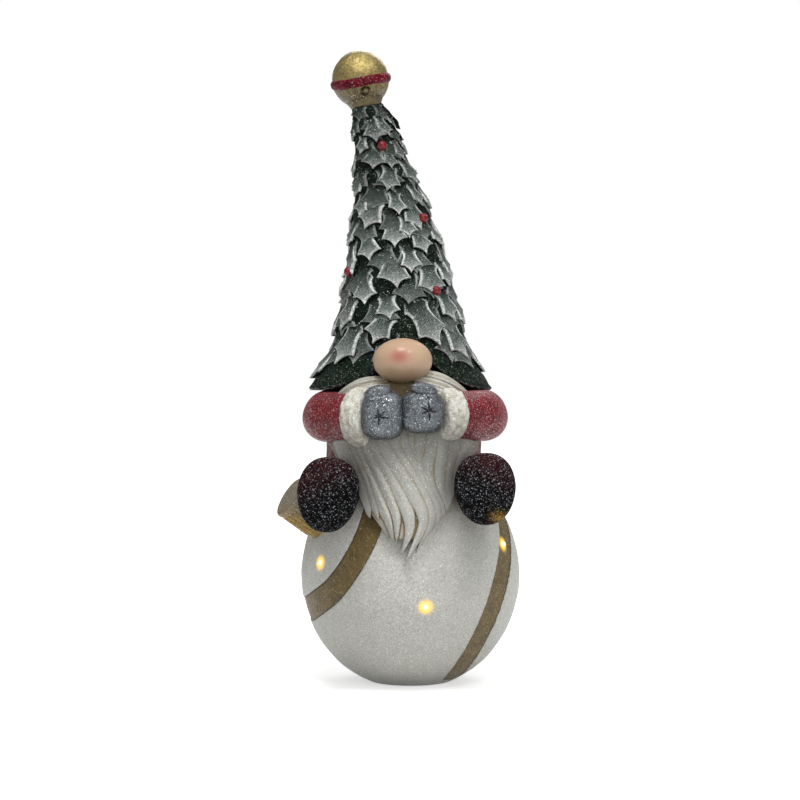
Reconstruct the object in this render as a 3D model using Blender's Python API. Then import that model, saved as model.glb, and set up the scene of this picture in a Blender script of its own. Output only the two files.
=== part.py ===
# Gnome statue sitting on an ornament ball, with three lamps and a battery tray in its foot.
# Metres, +Z up, +X to the viewer's right, the viewer in front at -Y. The foot stands on z = 0.

import math

import bmesh
import bpy
from mathutils import Matrix, Vector

# General sizes
CLEARANCE = 0.0003
WALL = 0.0085
HAT_SHARE = 0.54
FIGURE_SHARE = 0.66
THIN_STEP = 0.03
# The manifold solver, because the exact one loses the hat among its leaves
SOLVER = "MANIFOLD"
TAU = 2.0 * math.pi
SIDEWAYS = Vector((1.0, 0.0, 0.0))
BACKWARDS = Vector((0.0, 1.0, 0.0))
UPWARDS = Vector((0.0, 0.0, 1.0))

# Ball: an upright oval, cut flat where it stands
BALL_RADIUS = 0.0953
BALL_HALF_HEIGHT = 0.1000
FOOT_CUT = 0.0070
BALL_CENTRE = Vector((0.0090, 0.0180, BALL_HALF_HEIGHT - FOOT_CUT))
# Height of the ball's top for which the figure's heights below are written; the figure rises with the ball
FIGURE_SEAT_Z = 0.1930
BALL_SEGMENTS = 28
BALL_RINGS = 13

# Ornament cap on the ball: the way it points, and its sizes
CAP_SLOPE = math.radians(33.8)
CAP_TURN = math.radians(18.0)
CAP_REACH = 0.0345
CAP_END_RADIUS = 0.0180
CAP_ROOT_RADIUS = 0.0198
CAP_RIM = 0.0016
CAP_ROOT_DEPTH = 0.0100
CAP_SEGMENTS = 18

# Gold band that winds round the ball's cap axis: turn about the axis, angle from it
BAND_COURSE = ((250.0, 34.0), (188.0, 38.5), (135.0, 43.0), (84.0, 49.0), (-20.0, 78.0),
               (-121.0, 108.0), (-173.0, 119.6), (-217.0, 128.0), (-290.0, 143.0))
BAND_WIDTH = 0.0215
BAND_DEPTH = 0.0009
BAND_CUTTER_PROUD = 0.0040
BAND_STEPS = 20

# Coat
COAT_CENTRE = Vector((0.0030, 0.0290))
COAT_HALF_WIDTH = 0.0675
COAT_HALF_DEPTH = 0.0560
COAT_HEM_Z = 0.1600
SHOULDER_Z = 0.2680
COAT_SEGMENTS = 20
# Height and how far the coat stands out there
COAT_STATIONS = ((COAT_HEM_Z - 0.012, -0.012), (COAT_HEM_Z - 0.002, 0.003), (COAT_HEM_Z + 0.004, 0.005),
                 (COAT_HEM_Z + 0.016, 0.002), (0.205, 0.0), (0.235, -0.001),
                 (SHOULDER_Z - 0.012, -0.006), (SHOULDER_Z + 0.006, -0.020))

# Cavity: rings in the ball, heights in the coat, then a dome under the hat, which is cast solid
CAVITY_RINGS = 7
CAVITY_SEGMENTS = 16
CAVITY_COAT_Z = (COAT_HEM_Z + 0.020, SHOULDER_Z - 0.028)
CAVITY_DOME = ((SHOULDER_Z - 0.010, 0.80), (SHOULDER_Z, 0.45))

# Hat: a leaning cone with a flared brim that arches over the nose
BRIM_Z = 0.2535
HAT_TOP_Z = 0.5030
HAT_CENTRE = Vector((-0.0013, 0.0240))
HAT_BASE_RADIUS = 0.0665
HAT_TOP_RADIUS = 0.0130
HAT_HOLLOW = 0.0030
HAT_DEPTH_RATIO = 0.93
HAT_LEAN = 0.0285
HAT_LEAN_POWER = 2.8
BRIM_FLARE = 0.0090
BRIM_FLARE_SHARE = 0.09
ARCH_RISE = 0.0300
ARCH_SPREAD = math.radians(31.0)
ARCH_ROUNDING = math.radians(8.0)
HAT_SEGMENTS = 22
# Share of the way up from the brim's edge, how far off the hat's surface
HAT_STATIONS = ((0.02, -0.018), (0.0, -0.005), (0.006, 0.0), (0.04, 0.0), (0.09, 0.0), (0.14, 0.0),
                (0.20, 0.0), (0.32, 0.0), (0.46, 0.0), (0.60, 0.0), (0.74, 0.0), (0.86, 0.0), (0.95, 0.0),
                (1.0, 0.0))

# Holly leaves in rows, tips down: share of the hat's height at the tip, number, leaf length
LEAF_ROWS = ((0.040, 11, 0.0410), (0.155, 10, 0.0390), (0.270, 9, 0.0380), (0.380, 8, 0.0370),
             (0.485, 7, 0.0350), (0.585, 6, 0.0330), (0.680, 6, 0.0290), (0.770, 5, 0.0260),
             (0.860, 4, 0.0240))
LEAF_WIDTH_RATIO = 0.90
LEAF_THICKNESS = 0.0021
LEAF_ROOT = 0.0020
LEAF_RIDGE = 0.0024
LEAF_TIP_LIFT = 0.0028
LEAF_SWAY = math.radians(14.0)
# Half outline of a leaf: share of the half width, share of the length from the stalk
LEAF_OUTLINE = ((0.24, 0.04), (1.00, 0.30), (0.40, 0.46), (0.86, 0.69), (0.27, 0.80))
LEAF_RIB_ENDS = (0.22, 0.78)

# Berries: turn from the front, share of the hat's height
BERRY_RADIUS = 0.0032
BERRIES = ((12.0, 0.870), (55.0, 0.604), (-69.0, 0.414), (44.5, 0.343), (160.0, 0.300),
           (-150.0, 0.520), (118.0, 0.720))

# Bell on the tip
BELL_CENTRE = Vector((-0.0347, 0.0250, 0.5262))
BELL_RADIUS = 0.0250
BELL_BAND_DROP = 0.0026
BELL_BAND_HALF = 0.0042
BELL_BAND_PROUD = 0.0014
BELL_STEPS = 6

# Nose
NOSE_CENTRE = Vector((0.0022, -0.0570, 0.2772))
NOSE_HALF = Vector((0.0248, 0.0225, 0.0190))

# Arms: a sleeve from the shoulder round the elbow to the cuff, a fur cuff, a mitten with its thumb
SLEEVE_RADIUS = 0.0220
SLEEVE_SHARES = (0.0, 0.90, 1.0, 1.0, 1.0, 0.96, 0.88, 0.0)
SLEEVE_LEFT = ((-0.046, 0.034, 0.2400), (-0.0605, 0.010, 0.2345), (-0.0590, -0.020, 0.2328))
SLEEVE_RIGHT = ((0.053, 0.034, 0.2410), (0.0690, 0.010, 0.2350), (0.0680, -0.020, 0.2340))
CUFF_LENGTH = 0.0185
CUFF_LEFT_CENTRE = Vector((-0.0325, -0.0655, 0.2301))
CUFF_LEFT_RADIUS = 0.0245
CUFF_RIGHT_CENTRE = Vector((0.0410, -0.0655, 0.2326))
CUFF_RIGHT_RADIUS = 0.0212
CUFF_TURN = math.radians(26.0)
CUFF_TUFTS = 8
CUFF_TUFT_DEPTH = 0.0006
# Share of the half length, share of the radius
CUFF_STATIONS = ((-1.0, 0.68), (-0.80, 0.88), (-0.30, 1.0), (0.30, 1.0), (0.80, 0.88), (1.0, 0.68))
MITTEN_LEFT_CENTRE = Vector((-0.0141, -0.0810, 0.2320))
MITTEN_LEFT_HALF = Vector((0.0176, 0.0148, 0.0200))
MITTEN_RIGHT_CENTRE = Vector((0.0185, -0.0810, 0.2347))
MITTEN_RIGHT_HALF = Vector((0.0178, 0.0148, 0.0178))
MITTEN_SQUARENESS = 3.2
THUMB_HALF = Vector((0.0105, 0.0085, 0.0058))
THUMB_SHIFT = 0.0040
STAR_OUTER = 0.0068
STAR_INNER = 0.0011
STAR_DEPTH = 0.0009
STAR_SHIFT = 0.0042
STAR_DROP = 0.0004

# Beard: level slices of its main form (height, middle X, half width, front Y), then its locks
BEARD_SLICES = ((0.272, 0.002, 0.026, -0.052), (0.255, 0.002, 0.048, -0.060),
                (0.232, 0.002, 0.057, -0.070), (0.210, 0.002, 0.059, -0.076),
                (0.188, 0.003, 0.050, -0.081), (0.168, 0.004, 0.042, -0.084),
                (0.150, 0.005, 0.035, -0.085), (0.136, 0.006, 0.024, -0.085),
                (0.124, 0.006, 0.012, -0.084))
BEARD_TIP = Vector((0.0065, -0.0780, 0.1190))
BEARD_SEGMENTS = 16
BEARD_BACK = -0.0100
BEARD_ROOT = 0.0300
BEARD_SOLID = 0.0190
LOCK_TOP_Z = 0.2300
LOCK_THICKNESS = 0.0080
LOCK_SQUASH = 0.72
LOCK_SUNK = 0.0010
LOCK_STEPS = 7
LOCK_WAVES = 0.92
# Locks: X at the top, X at the tip, Z at the tip, sideways sway
LOCKS = ((-0.052, -0.045, 0.172, 0.003), (-0.041, -0.0265, 0.1375, 0.006), (-0.028, -0.010, 0.146, 0.009),
         (-0.015, 0.0065, 0.1150, 0.011), (-0.001, 0.014, 0.128, 0.010), (0.013, 0.024, 0.138, 0.008),
         (0.027, 0.0390, 0.1365, 0.006), (0.041, 0.044, 0.156, 0.004), (0.055, 0.053, 0.178, 0.001))
# Cheek hair: where each strand starts by the nose and where it ends
CHEEK_STRANDS = (((0.018, -0.059, 0.270), (0.049, -0.050, 0.258)),
                 ((0.016, -0.063, 0.262), (0.052, -0.050, 0.247)))
CHEEK_THICKNESS = 0.0078
CHEEK_SHARES = (0.0, 1.0, 1.0, 0.75, 0.0)
CHEEK_BOW = Vector((0.0, -0.0040, 0.0030))

# Legs and boots, soles to the front
LEG_RADIUS = 0.0200
LEG_SHARES = (0.0, 1.0, 1.0, 0.97, 0.9, 0.0)
KNEE_Y = -0.0400
BOOT_SOLE_Y = -0.1133
BOOT_LENGTH = 0.0560
BOOT_LEFT_CENTRE = Vector((-0.0583, 0.1680))
BOOT_LEFT_HALF = Vector((0.0252, 0.0305))
BOOT_LEFT_TILT = math.radians(-8.0)
BOOT_RIGHT_CENTRE = Vector((0.0688, 0.1727))
BOOT_RIGHT_HALF = Vector((0.0250, 0.0292))
BOOT_RIGHT_TILT = math.radians(4.0)
BOOT_SQUARENESS = 2.35
BOOT_HEEL_TAPER = 0.16
BOOT_SEGMENTS = 18
# Distance behind the sole, share of the sole's size
BOOT_STATIONS = ((0.0, 0.58), (0.0010, 0.80), (0.0036, 0.95), (0.0080, 1.0), (0.0100, 0.955), (0.0125, 0.985),
                 (0.0260, 0.95), (0.0420, 0.78), (BOOT_LENGTH, 0.52))

# Lamps in the ball: azimuth from the front (+ to the right) and elevation of each hole
LAMPS = (("left", -54.0, 8.5), ("front", 7.5, -11.5), ("right", 60.4, 17.8))
LAMP_RADIUS = 0.0025
LAMP_FLANGE_RADIUS = 0.0030
LAMP_PROUD = 0.0012
LAMP_SEAT = 0.0065
LAMP_COLLAR = 0.0012
LAMP_STEPS = 8

# Battery tray in the foot
FOOT_THICKNESS = 0.0150
TRAY_OPENING_RADIUS = 0.0288
TRAY_FLANGE_RADIUS = 0.0303
TRAY_FLANGE_THICKNESS = 0.0020
TRAY_RECESS = 0.0010
TRAY_WALL = 0.0012
TRAY_ROOF = 0.0014
TRAY_ROOT = 0.0010
TRAY_SEGMENTS = 24

# Cells
CELL_LENGTH = 0.0445
CELL_RADIUS = 0.00525
CELL_PITCH = 0.0112
CELL_BUTTON_RADIUS = 0.0019
CELL_BUTTON_LENGTH = 0.0008
CELL_EDGE = 0.0004
CONTACT_THICKNESS = 0.0004
CONTACT_HALF_HEIGHT = 0.0040
CONTACT_GAP = 0.0016

# Door
DOOR_THICKNESS = 0.0014
DOOR_TONGUE_WIDTH = 0.0080
DOOR_TONGUE_REACH = 0.0290
SCREW_X = 0.0262
SCREW_HEAD_RADIUS = 0.0019
SCREW_SHANK_RADIUS = 0.0010
SCREW_LENGTH = 0.0070
SCREW_HEAD_HEIGHT = 0.0008
SCREW_BOSS_RADIUS = 0.0019
SCREW_BOSS_ROOF = 0.0010

# Switch
SWITCH_Y = 0.0200
SWITCH_KNOB = Vector((0.0040, 0.0028))
SWITCH_PLATE = Vector((0.0090, 0.0048))
SWITCH_PLATE_THICKNESS = 0.0010
SWITCH_TRAVEL = 0.0030
SWITCH_HOUSING_WALL = 0.0010

# Lamp wires
WIRE_RADIUS = 0.0007
WIRE_INWARD = 0.0120
WIRE_RISE = 0.0160
WIRE_DROOP = 0.0060
WIRE_END_Y = -0.0060
WIRE_SLOTS = (-0.0120, 0.0, 0.0120)
WIRE_STEPS = 9
WIRE_SEGMENTS = 6


# Materials

def material(name, colour, roughness, metallic=0.0, glow=0.0):
    """A Principled material with one plain colour."""
    made = bpy.data.materials.new(name)
    made.use_nodes = True
    shader = made.node_tree.nodes["Principled BSDF"]
    shader.inputs["Base Color"].default_value = (*colour, 1.0)
    shader.inputs["Roughness"].default_value = roughness
    shader.inputs["Metallic"].default_value = metallic
    if glow:
        shader.inputs["Emission Color"].default_value = (*colour, 1.0)
        shader.inputs["Emission Strength"].default_value = glow
    return made


# Mesh helpers

def new_object(name, mesh):
    """An object in the scene for a finished mesh."""
    made = bpy.data.objects.new(name, mesh)
    bpy.context.scene.collection.objects.link(made)
    return made


def loft(name, rings):
    """Closed body through rings of equal count; a ring of one point closes an end as a fan."""
    shape = bmesh.new()
    rows = [[shape.verts.new(point) for point in ring] for ring in rings]
    for lower, upper in zip(rows, rows[1:]):
        count = max(len(lower), len(upper))
        for i in range(count):
            j = (i + 1) % count
            corners = []
            for row, order in ((lower, (i, j)), (upper, (j, i))):
                for index in order:
                    corner = row[index] if len(row) > 1 else row[0]
                    if corner not in corners:
                        corners.append(corner)
            shape.faces.new(corners)
    for row in (rows[0], rows[-1]):
        if len(row) > 1:
            shape.faces.new(row)
    bmesh.ops.triangulate(shape, faces=shape.faces)
    bmesh.ops.recalc_face_normals(shape, faces=shape.faces)
    mesh = bpy.data.meshes.new(name)
    shape.to_mesh(mesh)
    shape.free()
    return new_object(name, mesh)


def circle(centre, radius, side, up, count, squash=1.0):
    """Points round a centre in the plane of two directions."""
    points = []
    for i in range(count):
        angle = TAU * i / count
        points.append(centre + side * (radius * math.cos(angle)) + up * (radius * squash * math.sin(angle)))
    return points


def frame_along(direction):
    """Two directions square to the one given."""
    direction = direction.normalized()
    helper = UPWARDS if abs(direction.z) < 0.9 else BACKWARDS
    side = direction.cross(helper).normalized()
    return side, side.cross(direction).normalized()


def turned(name, origin, axis, profile, count):
    """Body turned about an axis: profile of (distance along it, radius)."""
    axis = Vector(axis).normalized()
    side, up = frame_along(axis)
    rings = []
    for along, radius in profile:
        middle = Vector(origin) + axis * along
        rings.append([middle] if radius == 0.0 else circle(middle, radius, side, up, count))
    return loft(name, rings)


def smooth_line(points, count):
    """Catmull-Rom curve through the points, read at equal steps."""
    points = [Vector(p) for p in points]
    line = []
    spans = len(points) - 1
    for step in range(count):
        place = spans * step / (count - 1)
        k = min(int(place), spans - 1)
        t = place - k
        b, c = points[k], points[k + 1]
        a = points[k - 1] if k > 0 else b * 2.0 - c
        d = points[k + 2] if k + 2 <= spans else c * 2.0 - b
        line.append(0.5 * ((2.0 * b) + (c - a) * t + (2.0 * a - 5.0 * b + 4.0 * c - d) * t * t
                           + (3.0 * b - a - 3.0 * c + d) * t * t * t))
    return line


def swept(name, line, radii, count, squash=1.0, facing=None):
    """Tube along a line with a radius at each point, closed by a point at both ends."""
    rings = [[line[0]]]
    for i in range(1, len(line) - 1):
        direction = (line[i + 1] - line[i - 1]).normalized()
        side, up = frame_along(direction)
        if facing is not None:
            side = direction.cross(facing).normalized()
            up = side.cross(direction).normalized()
        rings.append(circle(line[i], radii[i], side, up, count, squash))
    rings.append([line[-1]])
    return loft(name, rings)


def oval(name, centre, half, rings, count, power=2.0):
    """Oval body; a power above 2 makes it squarer."""
    def soft(value):
        return math.copysign(abs(value) ** (2.0 / power), value)

    rows = [[centre - Vector((0.0, 0.0, half.z))]]
    for i in range(1, rings):
        tilt = -math.pi / 2.0 + math.pi * i / rings
        z = centre.z + half.z * soft(math.sin(tilt))
        reach = abs(math.cos(tilt)) ** (2.0 / power)
        rows.append([Vector((centre.x + half.x * reach * soft(math.cos(TAU * j / count)),
                             centre.y + half.y * reach * soft(math.sin(TAU * j / count)), z))
                     for j in range(count)])
    rows.append([centre + Vector((0.0, 0.0, half.z))])
    return loft(name, rows)


def box(name, low, high):
    """Box between two corners."""
    x0, y0, z0 = low
    x1, y1, z1 = high
    return loft(name, [[Vector((x0, y0, z)), Vector((x1, y0, z)), Vector((x1, y1, z)), Vector((x0, y1, z))]
                       for z in (z0, z1)])


def combine(target, tools, operation):
    """Union or difference of a body with each tool; the tools go away."""
    for tool in tools:
        step = target.modifiers.new("step", "BOOLEAN")
        step.operation = operation
        step.solver = SOLVER
        step.object = tool
        graph = bpy.context.evaluated_depsgraph_get()
        mesh = bpy.data.meshes.new_from_object(target.evaluated_get(graph))
        target.modifiers.clear()
        old = target.data
        target.data = mesh
        bpy.data.meshes.remove(old)
        bpy.data.objects.remove(tool)
    return target


def is_closed(mesh):
    """Whether every edge joins two faces."""
    shape = bmesh.new()
    shape.from_mesh(mesh)
    closed = all(edge.is_manifold for edge in shape.edges) and all(v.is_manifold for v in shape.verts)
    shape.free()
    return closed


def thin_out(body, share):
    """Fewer triangles where unions left slivers: the least share at which the body stays closed."""
    while share < 1.0:
        step = body.modifiers.new("thin", "DECIMATE")
        step.ratio = share
        graph = bpy.context.evaluated_depsgraph_get()
        mesh = bpy.data.meshes.new_from_object(body.evaluated_get(graph))
        body.modifiers.clear()
        if is_closed(mesh):
            body.data = mesh
            break
        share += THIN_STEP
    return body


def finish(body, paint, smooth_angle=35.0):
    """One material, smooth shading with sharp edges."""
    body.data.materials.clear()
    body.data.materials.append(paint)
    body.data.shade_smooth()
    body.data.set_sharp_from_angle(angle=math.radians(smooth_angle))
    return body


# Ball, cap and band

def ball_direction(azimuth, elevation):
    """Direction from the ball's centre, azimuth from the front and + to the right, in degrees."""
    a = math.radians(azimuth)
    e = math.radians(elevation)
    return Vector((math.sin(a) * math.cos(e), -math.cos(a) * math.cos(e), math.sin(e)))


def ball_reach(direction, inset=0.0):
    """Distance from the ball's centre to its skin along a direction."""
    flat = math.hypot(direction.x, direction.y) / (BALL_RADIUS - inset)
    high = direction.z / (BALL_HALF_HEIGHT - inset)
    return 1.0 / math.hypot(flat, high)


def ball_radius_at(z, inset=0.0):
    """Level radius of the ball at a height."""
    share = (z - BALL_CENTRE.z) / (BALL_HALF_HEIGHT - inset)
    return (BALL_RADIUS - inset) * math.sqrt(max(0.0, 1.0 - share * share))


def make_ball():
    """The ball, still round below z = 0."""
    profile = [(-BALL_HALF_HEIGHT, 0.0)]
    for i in range(1, BALL_RINGS):
        tilt = -math.pi / 2.0 + math.pi * i / BALL_RINGS
        profile.append((BALL_HALF_HEIGHT * math.sin(tilt), BALL_RADIUS * math.cos(tilt)))
    profile.append((BALL_HALF_HEIGHT, 0.0))
    return turned("ball", BALL_CENTRE, (0.0, 0.0, 1.0), profile, BALL_SEGMENTS)


def cap_axis():
    """Way the ornament cap points."""
    return Vector((-math.cos(CAP_TURN) * math.cos(CAP_SLOPE), -math.sin(CAP_TURN),
                   math.cos(CAP_TURN) * math.sin(CAP_SLOPE)))


def make_cap():
    """Short round cap with a rolled rim, its root inside the ball."""
    axis = cap_axis()
    skin = ball_reach(axis)
    end = skin + CAP_REACH
    root = skin - CAP_ROOT_DEPTH
    profile = ((root, 0.0), (root, CAP_ROOT_RADIUS), (end - 2.0 * CAP_RIM, CAP_END_RADIUS),
               (end - CAP_RIM, CAP_END_RADIUS + 0.5 * CAP_RIM), (end, CAP_END_RADIUS - 0.5 * CAP_RIM),
               (end, 0.0))
    return turned("cap", BALL_CENTRE, axis, profile, CAP_SEGMENTS)


def band_angle(turn):
    """Angle of the gold band from the cap axis at a turn about it, eased between its stations."""
    for (t0, a0), (t1, a1) in zip(BAND_COURSE, BAND_COURSE[1:]):
        if t1 <= turn <= t0:
            return a0 + (a1 - a0) * (t0 - turn) / (t0 - t1)
    return BAND_COURSE[-1][1]


def make_band_cutter():
    """Ribbon that cuts the gold band's shallow bed into the ball."""
    axis = cap_axis()
    side = axis.cross(UPWARDS).normalized()
    up = axis.cross(side).normalized()
    half = math.degrees(0.5 * BAND_WIDTH / BALL_RADIUS)
    section = ((-half, -BAND_DEPTH), (0.0, -BAND_DEPTH), (half, -BAND_DEPTH),
               (half, BAND_CUTTER_PROUD), (-half, BAND_CUTTER_PROUD))
    first, last = BAND_COURSE[0][0], BAND_COURSE[-1][0]
    rings = []
    for i in range(BAND_STEPS + 1):
        turn = first + (last - first) * i / BAND_STEPS
        around = side * math.cos(math.radians(turn)) + up * math.sin(math.radians(turn))
        ring = []
        for offset, height in section:
            angle = math.radians(band_angle(turn) + offset)
            direction = axis * math.cos(angle) + around * math.sin(angle)
            ring.append(BALL_CENTRE + direction * (ball_reach(direction) + height))
        rings.append(ring)
    return loft("band_cutter", rings)


# Coat and cavity

def figure_lift():
    """How far the figure rises with the ball that it sits on."""
    return BALL_CENTRE.z + BALL_HALF_HEIGHT - FIGURE_SEAT_Z


def level_oval(x, y, z, half_width, half_depth, count):
    """Level oval ring."""
    return circle(Vector((x, y, z)), half_width, SIDEWAYS, BACKWARDS, count, half_depth / half_width)


def make_coat():
    """Coat from inside the ball to inside the hat, with a soft hem."""
    rings = [level_oval(COAT_CENTRE.x, COAT_CENTRE.y, z, COAT_HALF_WIDTH + grow, COAT_HALF_DEPTH + grow,
                        COAT_SEGMENTS) for z, grow in COAT_STATIONS]
    return loft("coat", rings)


def make_cavity():
    """Hollow inside the ball and the coat, one wall thickness in."""
    rings = []
    lift = figure_lift()
    high = COAT_HEM_Z + 0.002 + lift
    for i in range(CAVITY_RINGS):
        z = FOOT_THICKNESS + (high - FOOT_THICKNESS) * i / (CAVITY_RINGS - 1)
        radius = ball_radius_at(z, WALL)
        rings.append(level_oval(BALL_CENTRE.x, BALL_CENTRE.y, z, radius, radius, CAVITY_SEGMENTS))
    back = COAT_CENTRE.y + COAT_HALF_DEPTH - WALL
    front = BEARD_SLICES[3][3] + BEARD_SOLID
    half_width = COAT_HALF_WIDTH - WALL - 0.002
    for z, share in tuple((z, 1.0) for z in CAVITY_COAT_Z) + CAVITY_DOME:
        rings.append(level_oval(COAT_CENTRE.x, 0.5 * (back + front), z + lift, share * half_width,
                                share * 0.5 * (back - front), CAVITY_SEGMENTS))
    return loft("cavity", rings)


# Hat, leaves, berries

def hat_radius(share):
    """Radius of the hat without its leaves, at a share of its height."""
    cone = HAT_BASE_RADIUS + (HAT_TOP_RADIUS - HAT_BASE_RADIUS) * share
    hollow = HAT_HOLLOW * math.sin(math.pi * min(max(share, 0.0), 1.0))
    return cone - hollow + BRIM_FLARE * math.exp(-(share / BRIM_FLARE_SHARE) ** 2)


def hat_middle(share):
    """Middle of the hat at a share of its height: it leans to the left."""
    return Vector((HAT_CENTRE.x - HAT_LEAN * max(share, 0.0) ** HAT_LEAN_POWER, HAT_CENTRE.y))


def brim_rise(turn):
    """How far the brim's edge rises above its level, highest over the nose."""
    turn = math.remainder(turn, TAU)
    away = math.hypot(turn, ARCH_ROUNDING) - ARCH_ROUNDING
    return ARCH_RISE * math.exp(-away / ARCH_SPREAD)


def hat_point(turn, rise, lift=0.0):
    """Point on the hat: turn from the front, share of the way from the brim's edge to the top."""
    edge = BRIM_Z + brim_rise(turn)
    z = edge + rise * (HAT_TOP_Z - edge)
    share = (z - BRIM_Z) / (HAT_TOP_Z - BRIM_Z)
    middle = hat_middle(share)
    radius = hat_radius(share)
    return Vector((middle.x + (radius + lift) * math.sin(turn),
                   middle.y - (radius * HAT_DEPTH_RATIO + lift) * math.cos(turn), z))


def make_hat():
    """Hat body with a rolled brim edge; its underside is closed above the shoulders."""
    turns = [TAU * i / HAT_SEGMENTS for i in range(HAT_SEGMENTS)]
    rings = [[Vector((HAT_CENTRE.x, HAT_CENTRE.y, BRIM_Z + 0.5 * ARCH_RISE))]]
    for rise, lift in HAT_STATIONS:
        rings.append([hat_point(turn, rise, lift) for turn in turns])
    return loft("hat", rings)


def make_leaf(name, turn, tip_rise, length, sway):
    """Holly leaf lying on the hat, tip down: flat rim, raised midrib, tip a little off the hat."""
    height = HAT_TOP_Z - BRIM_Z
    half_width = 0.5 * length * LEAF_WIDTH_RATIO
    share_of = length / height
    outline = [(half_width * u, v) for u, v in LEAF_OUTLINE]
    outline += [(0.0, 1.0)]
    outline += [(-half_width * u, v) for u, v in reversed(LEAF_OUTLINE)]

    def place(across, along, lift):
        lean = math.tan(sway)
        rise = tip_rise + share_of * (1.0 - along)
        radius = hat_radius(tip_rise + 0.5 * share_of)
        return hat_point(turn + (across + lean * length * (0.5 - along)) / radius, rise, lift)

    shape = bmesh.new()
    under = [shape.verts.new(place(u, v, -LEAF_ROOT)) for u, v in outline]
    rim = [shape.verts.new(place(u, v, LEAF_THICKNESS + LEAF_TIP_LIFT * v * v)) for u, v in outline]
    high, low = [shape.verts.new(place(0.0, v, LEAF_THICKNESS + LEAF_RIDGE + LEAF_TIP_LIFT * v * v))
                 for v in LEAF_RIB_ENDS]
    count = len(outline)
    for i in range(count):
        j = (i + 1) % count
        shape.faces.new((under[i], under[j], rim[j], rim[i]))
    shape.faces.new(list(reversed(under)))
    tip = len(LEAF_OUTLINE)
    shape.faces.new((rim[0], high, rim[-1]))
    for flank in (rim[:tip + 1], list(reversed(rim[tip:]))):
        for i, (a, b) in enumerate(zip(flank, flank[1:])):
            rib = high if i < 2 else low
            shape.faces.new((a, b, rib))
            if i == 2:
                shape.faces.new((a, high, low))
    bmesh.ops.triangulate(shape, faces=shape.faces)
    bmesh.ops.recalc_face_normals(shape, faces=shape.faces)
    mesh = bpy.data.meshes.new(name)
    shape.to_mesh(mesh)
    shape.free()
    return new_object(name, mesh)


def make_leaves():
    """All leaves, row by row from the brim up, each row turned by half a leaf."""
    leaves = []
    for row, (tip_rise, count, length) in enumerate(LEAF_ROWS):
        for i in range(count):
            turn = TAU * (i + 0.5 * (row % 2)) / count
            sway = LEAF_SWAY * math.sin(2.4 * i + 1.7 * row)
            leaves.append(make_leaf("leaf", turn, tip_rise, length, sway))
    return leaves


def make_berries():
    """Berries half sunk among the leaves."""
    berries = []
    for turn, share in BERRIES:
        edge = brim_rise(math.radians(turn))
        height = HAT_TOP_Z - BRIM_Z
        rise = (share * height - edge) / (height - edge)
        middle = hat_point(math.radians(turn), rise, 0.85 * BERRY_RADIUS)
        berries.append(oval("berry", middle, Vector((1.0, 1.0, 1.0)) * BERRY_RADIUS, 5, 8))
    return berries


# Bell

def bell_axis():
    """The bell hangs in line with the hat's tip."""
    tip = Vector((hat_middle(1.0).x, hat_middle(1.0).y, HAT_TOP_Z))
    return (BELL_CENTRE - tip).normalized()


def make_bell():
    """Round bell with a raised band, turned in one profile."""
    low, high = -BELL_BAND_DROP - BELL_BAND_HALF, -BELL_BAND_DROP + BELL_BAND_HALF
    outer = BELL_RADIUS + BELL_BAND_PROUD
    soft = 0.4 * BELL_BAND_PROUD

    def skin(along):
        return math.sqrt(BELL_RADIUS ** 2 - along ** 2)

    below = [-BELL_RADIUS * math.cos(0.5 * math.pi * i / BELL_STEPS) for i in range(1, BELL_STEPS)]
    above = [-along for along in reversed(below)]
    profile = [(-BELL_RADIUS, 0.0)]
    profile += [(along, skin(along)) for along in below if along < low - BELL_BAND_PROUD]
    profile += [(low, skin(low)), (low + soft, outer - soft), (high - soft, outer - soft), (high, skin(high))]
    profile += [(along, skin(along)) for along in above if along > high + BELL_BAND_PROUD]
    profile.append((BELL_RADIUS, 0.0))
    return turned("bell", BELL_CENTRE, bell_axis(), profile, 20)


# Face, beard and arms

def make_nose():
    """Big round nose."""
    return oval("nose", NOSE_CENTRE, NOSE_HALF, 8, 16)


def beard_slice(z):
    """Middle X, half width and front Y of the beard's main form at a height."""
    if z >= BEARD_SLICES[0][0]:
        return BEARD_SLICES[0][1:]
    for upper, lower in zip(BEARD_SLICES, BEARD_SLICES[1:]):
        if lower[0] <= z <= upper[0]:
            t = (upper[0] - z) / (upper[0] - lower[0])
            return tuple(a + (b - a) * t for a, b in zip(upper[1:], lower[1:]))
    return BEARD_SLICES[-1][1:]


def beard_front(x, z):
    """Front of the beard's main form at a place."""
    middle, half, front = beard_slice(z)
    share = min(0.98, abs(x - middle) / half)
    return BEARD_BACK + (front - BEARD_BACK) * math.sqrt(1.0 - share ** 2.6)


def make_beard():
    """Main form with a lock over it for each strand."""
    rings = []
    for z, middle, half, front in BEARD_SLICES:
        ring = []
        for i in range(BEARD_SEGMENTS):
            a = TAU * i / BEARD_SEGMENTS
            x = middle + half * math.copysign(abs(math.cos(a)) ** 0.85, math.cos(a))
            deep = (BEARD_BACK - front) if math.sin(a) < 0.0 else BEARD_ROOT
            ring.append(Vector((x, BEARD_BACK + deep * math.sin(a), z)))
        rings.append(ring)
    rings.append([BEARD_TIP])
    beard = loft("beard", rings)
    locks = []
    for top_x, tip_x, tip_z, sway in LOCKS:
        line = []
        radii = []
        for i in range(LOCK_STEPS):
            t = i / (LOCK_STEPS - 1)
            z = LOCK_TOP_Z + (tip_z - LOCK_TOP_Z) * t
            x = top_x + (tip_x - top_x) * t ** 1.4 + sway * math.sin(-LOCK_WAVES * TAU * t)
            line.append(Vector((x, beard_front(x, z) + LOCK_SUNK, z)))
            radii.append(LOCK_THICKNESS * (0.45 + 0.75 * math.sin(math.pi * min(1.0, t * 0.85 + 0.12))))
        locks.append(swept("lock", line, radii, 5, LOCK_SQUASH, -BACKWARDS))
    return combine(beard, locks, "UNION")


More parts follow.
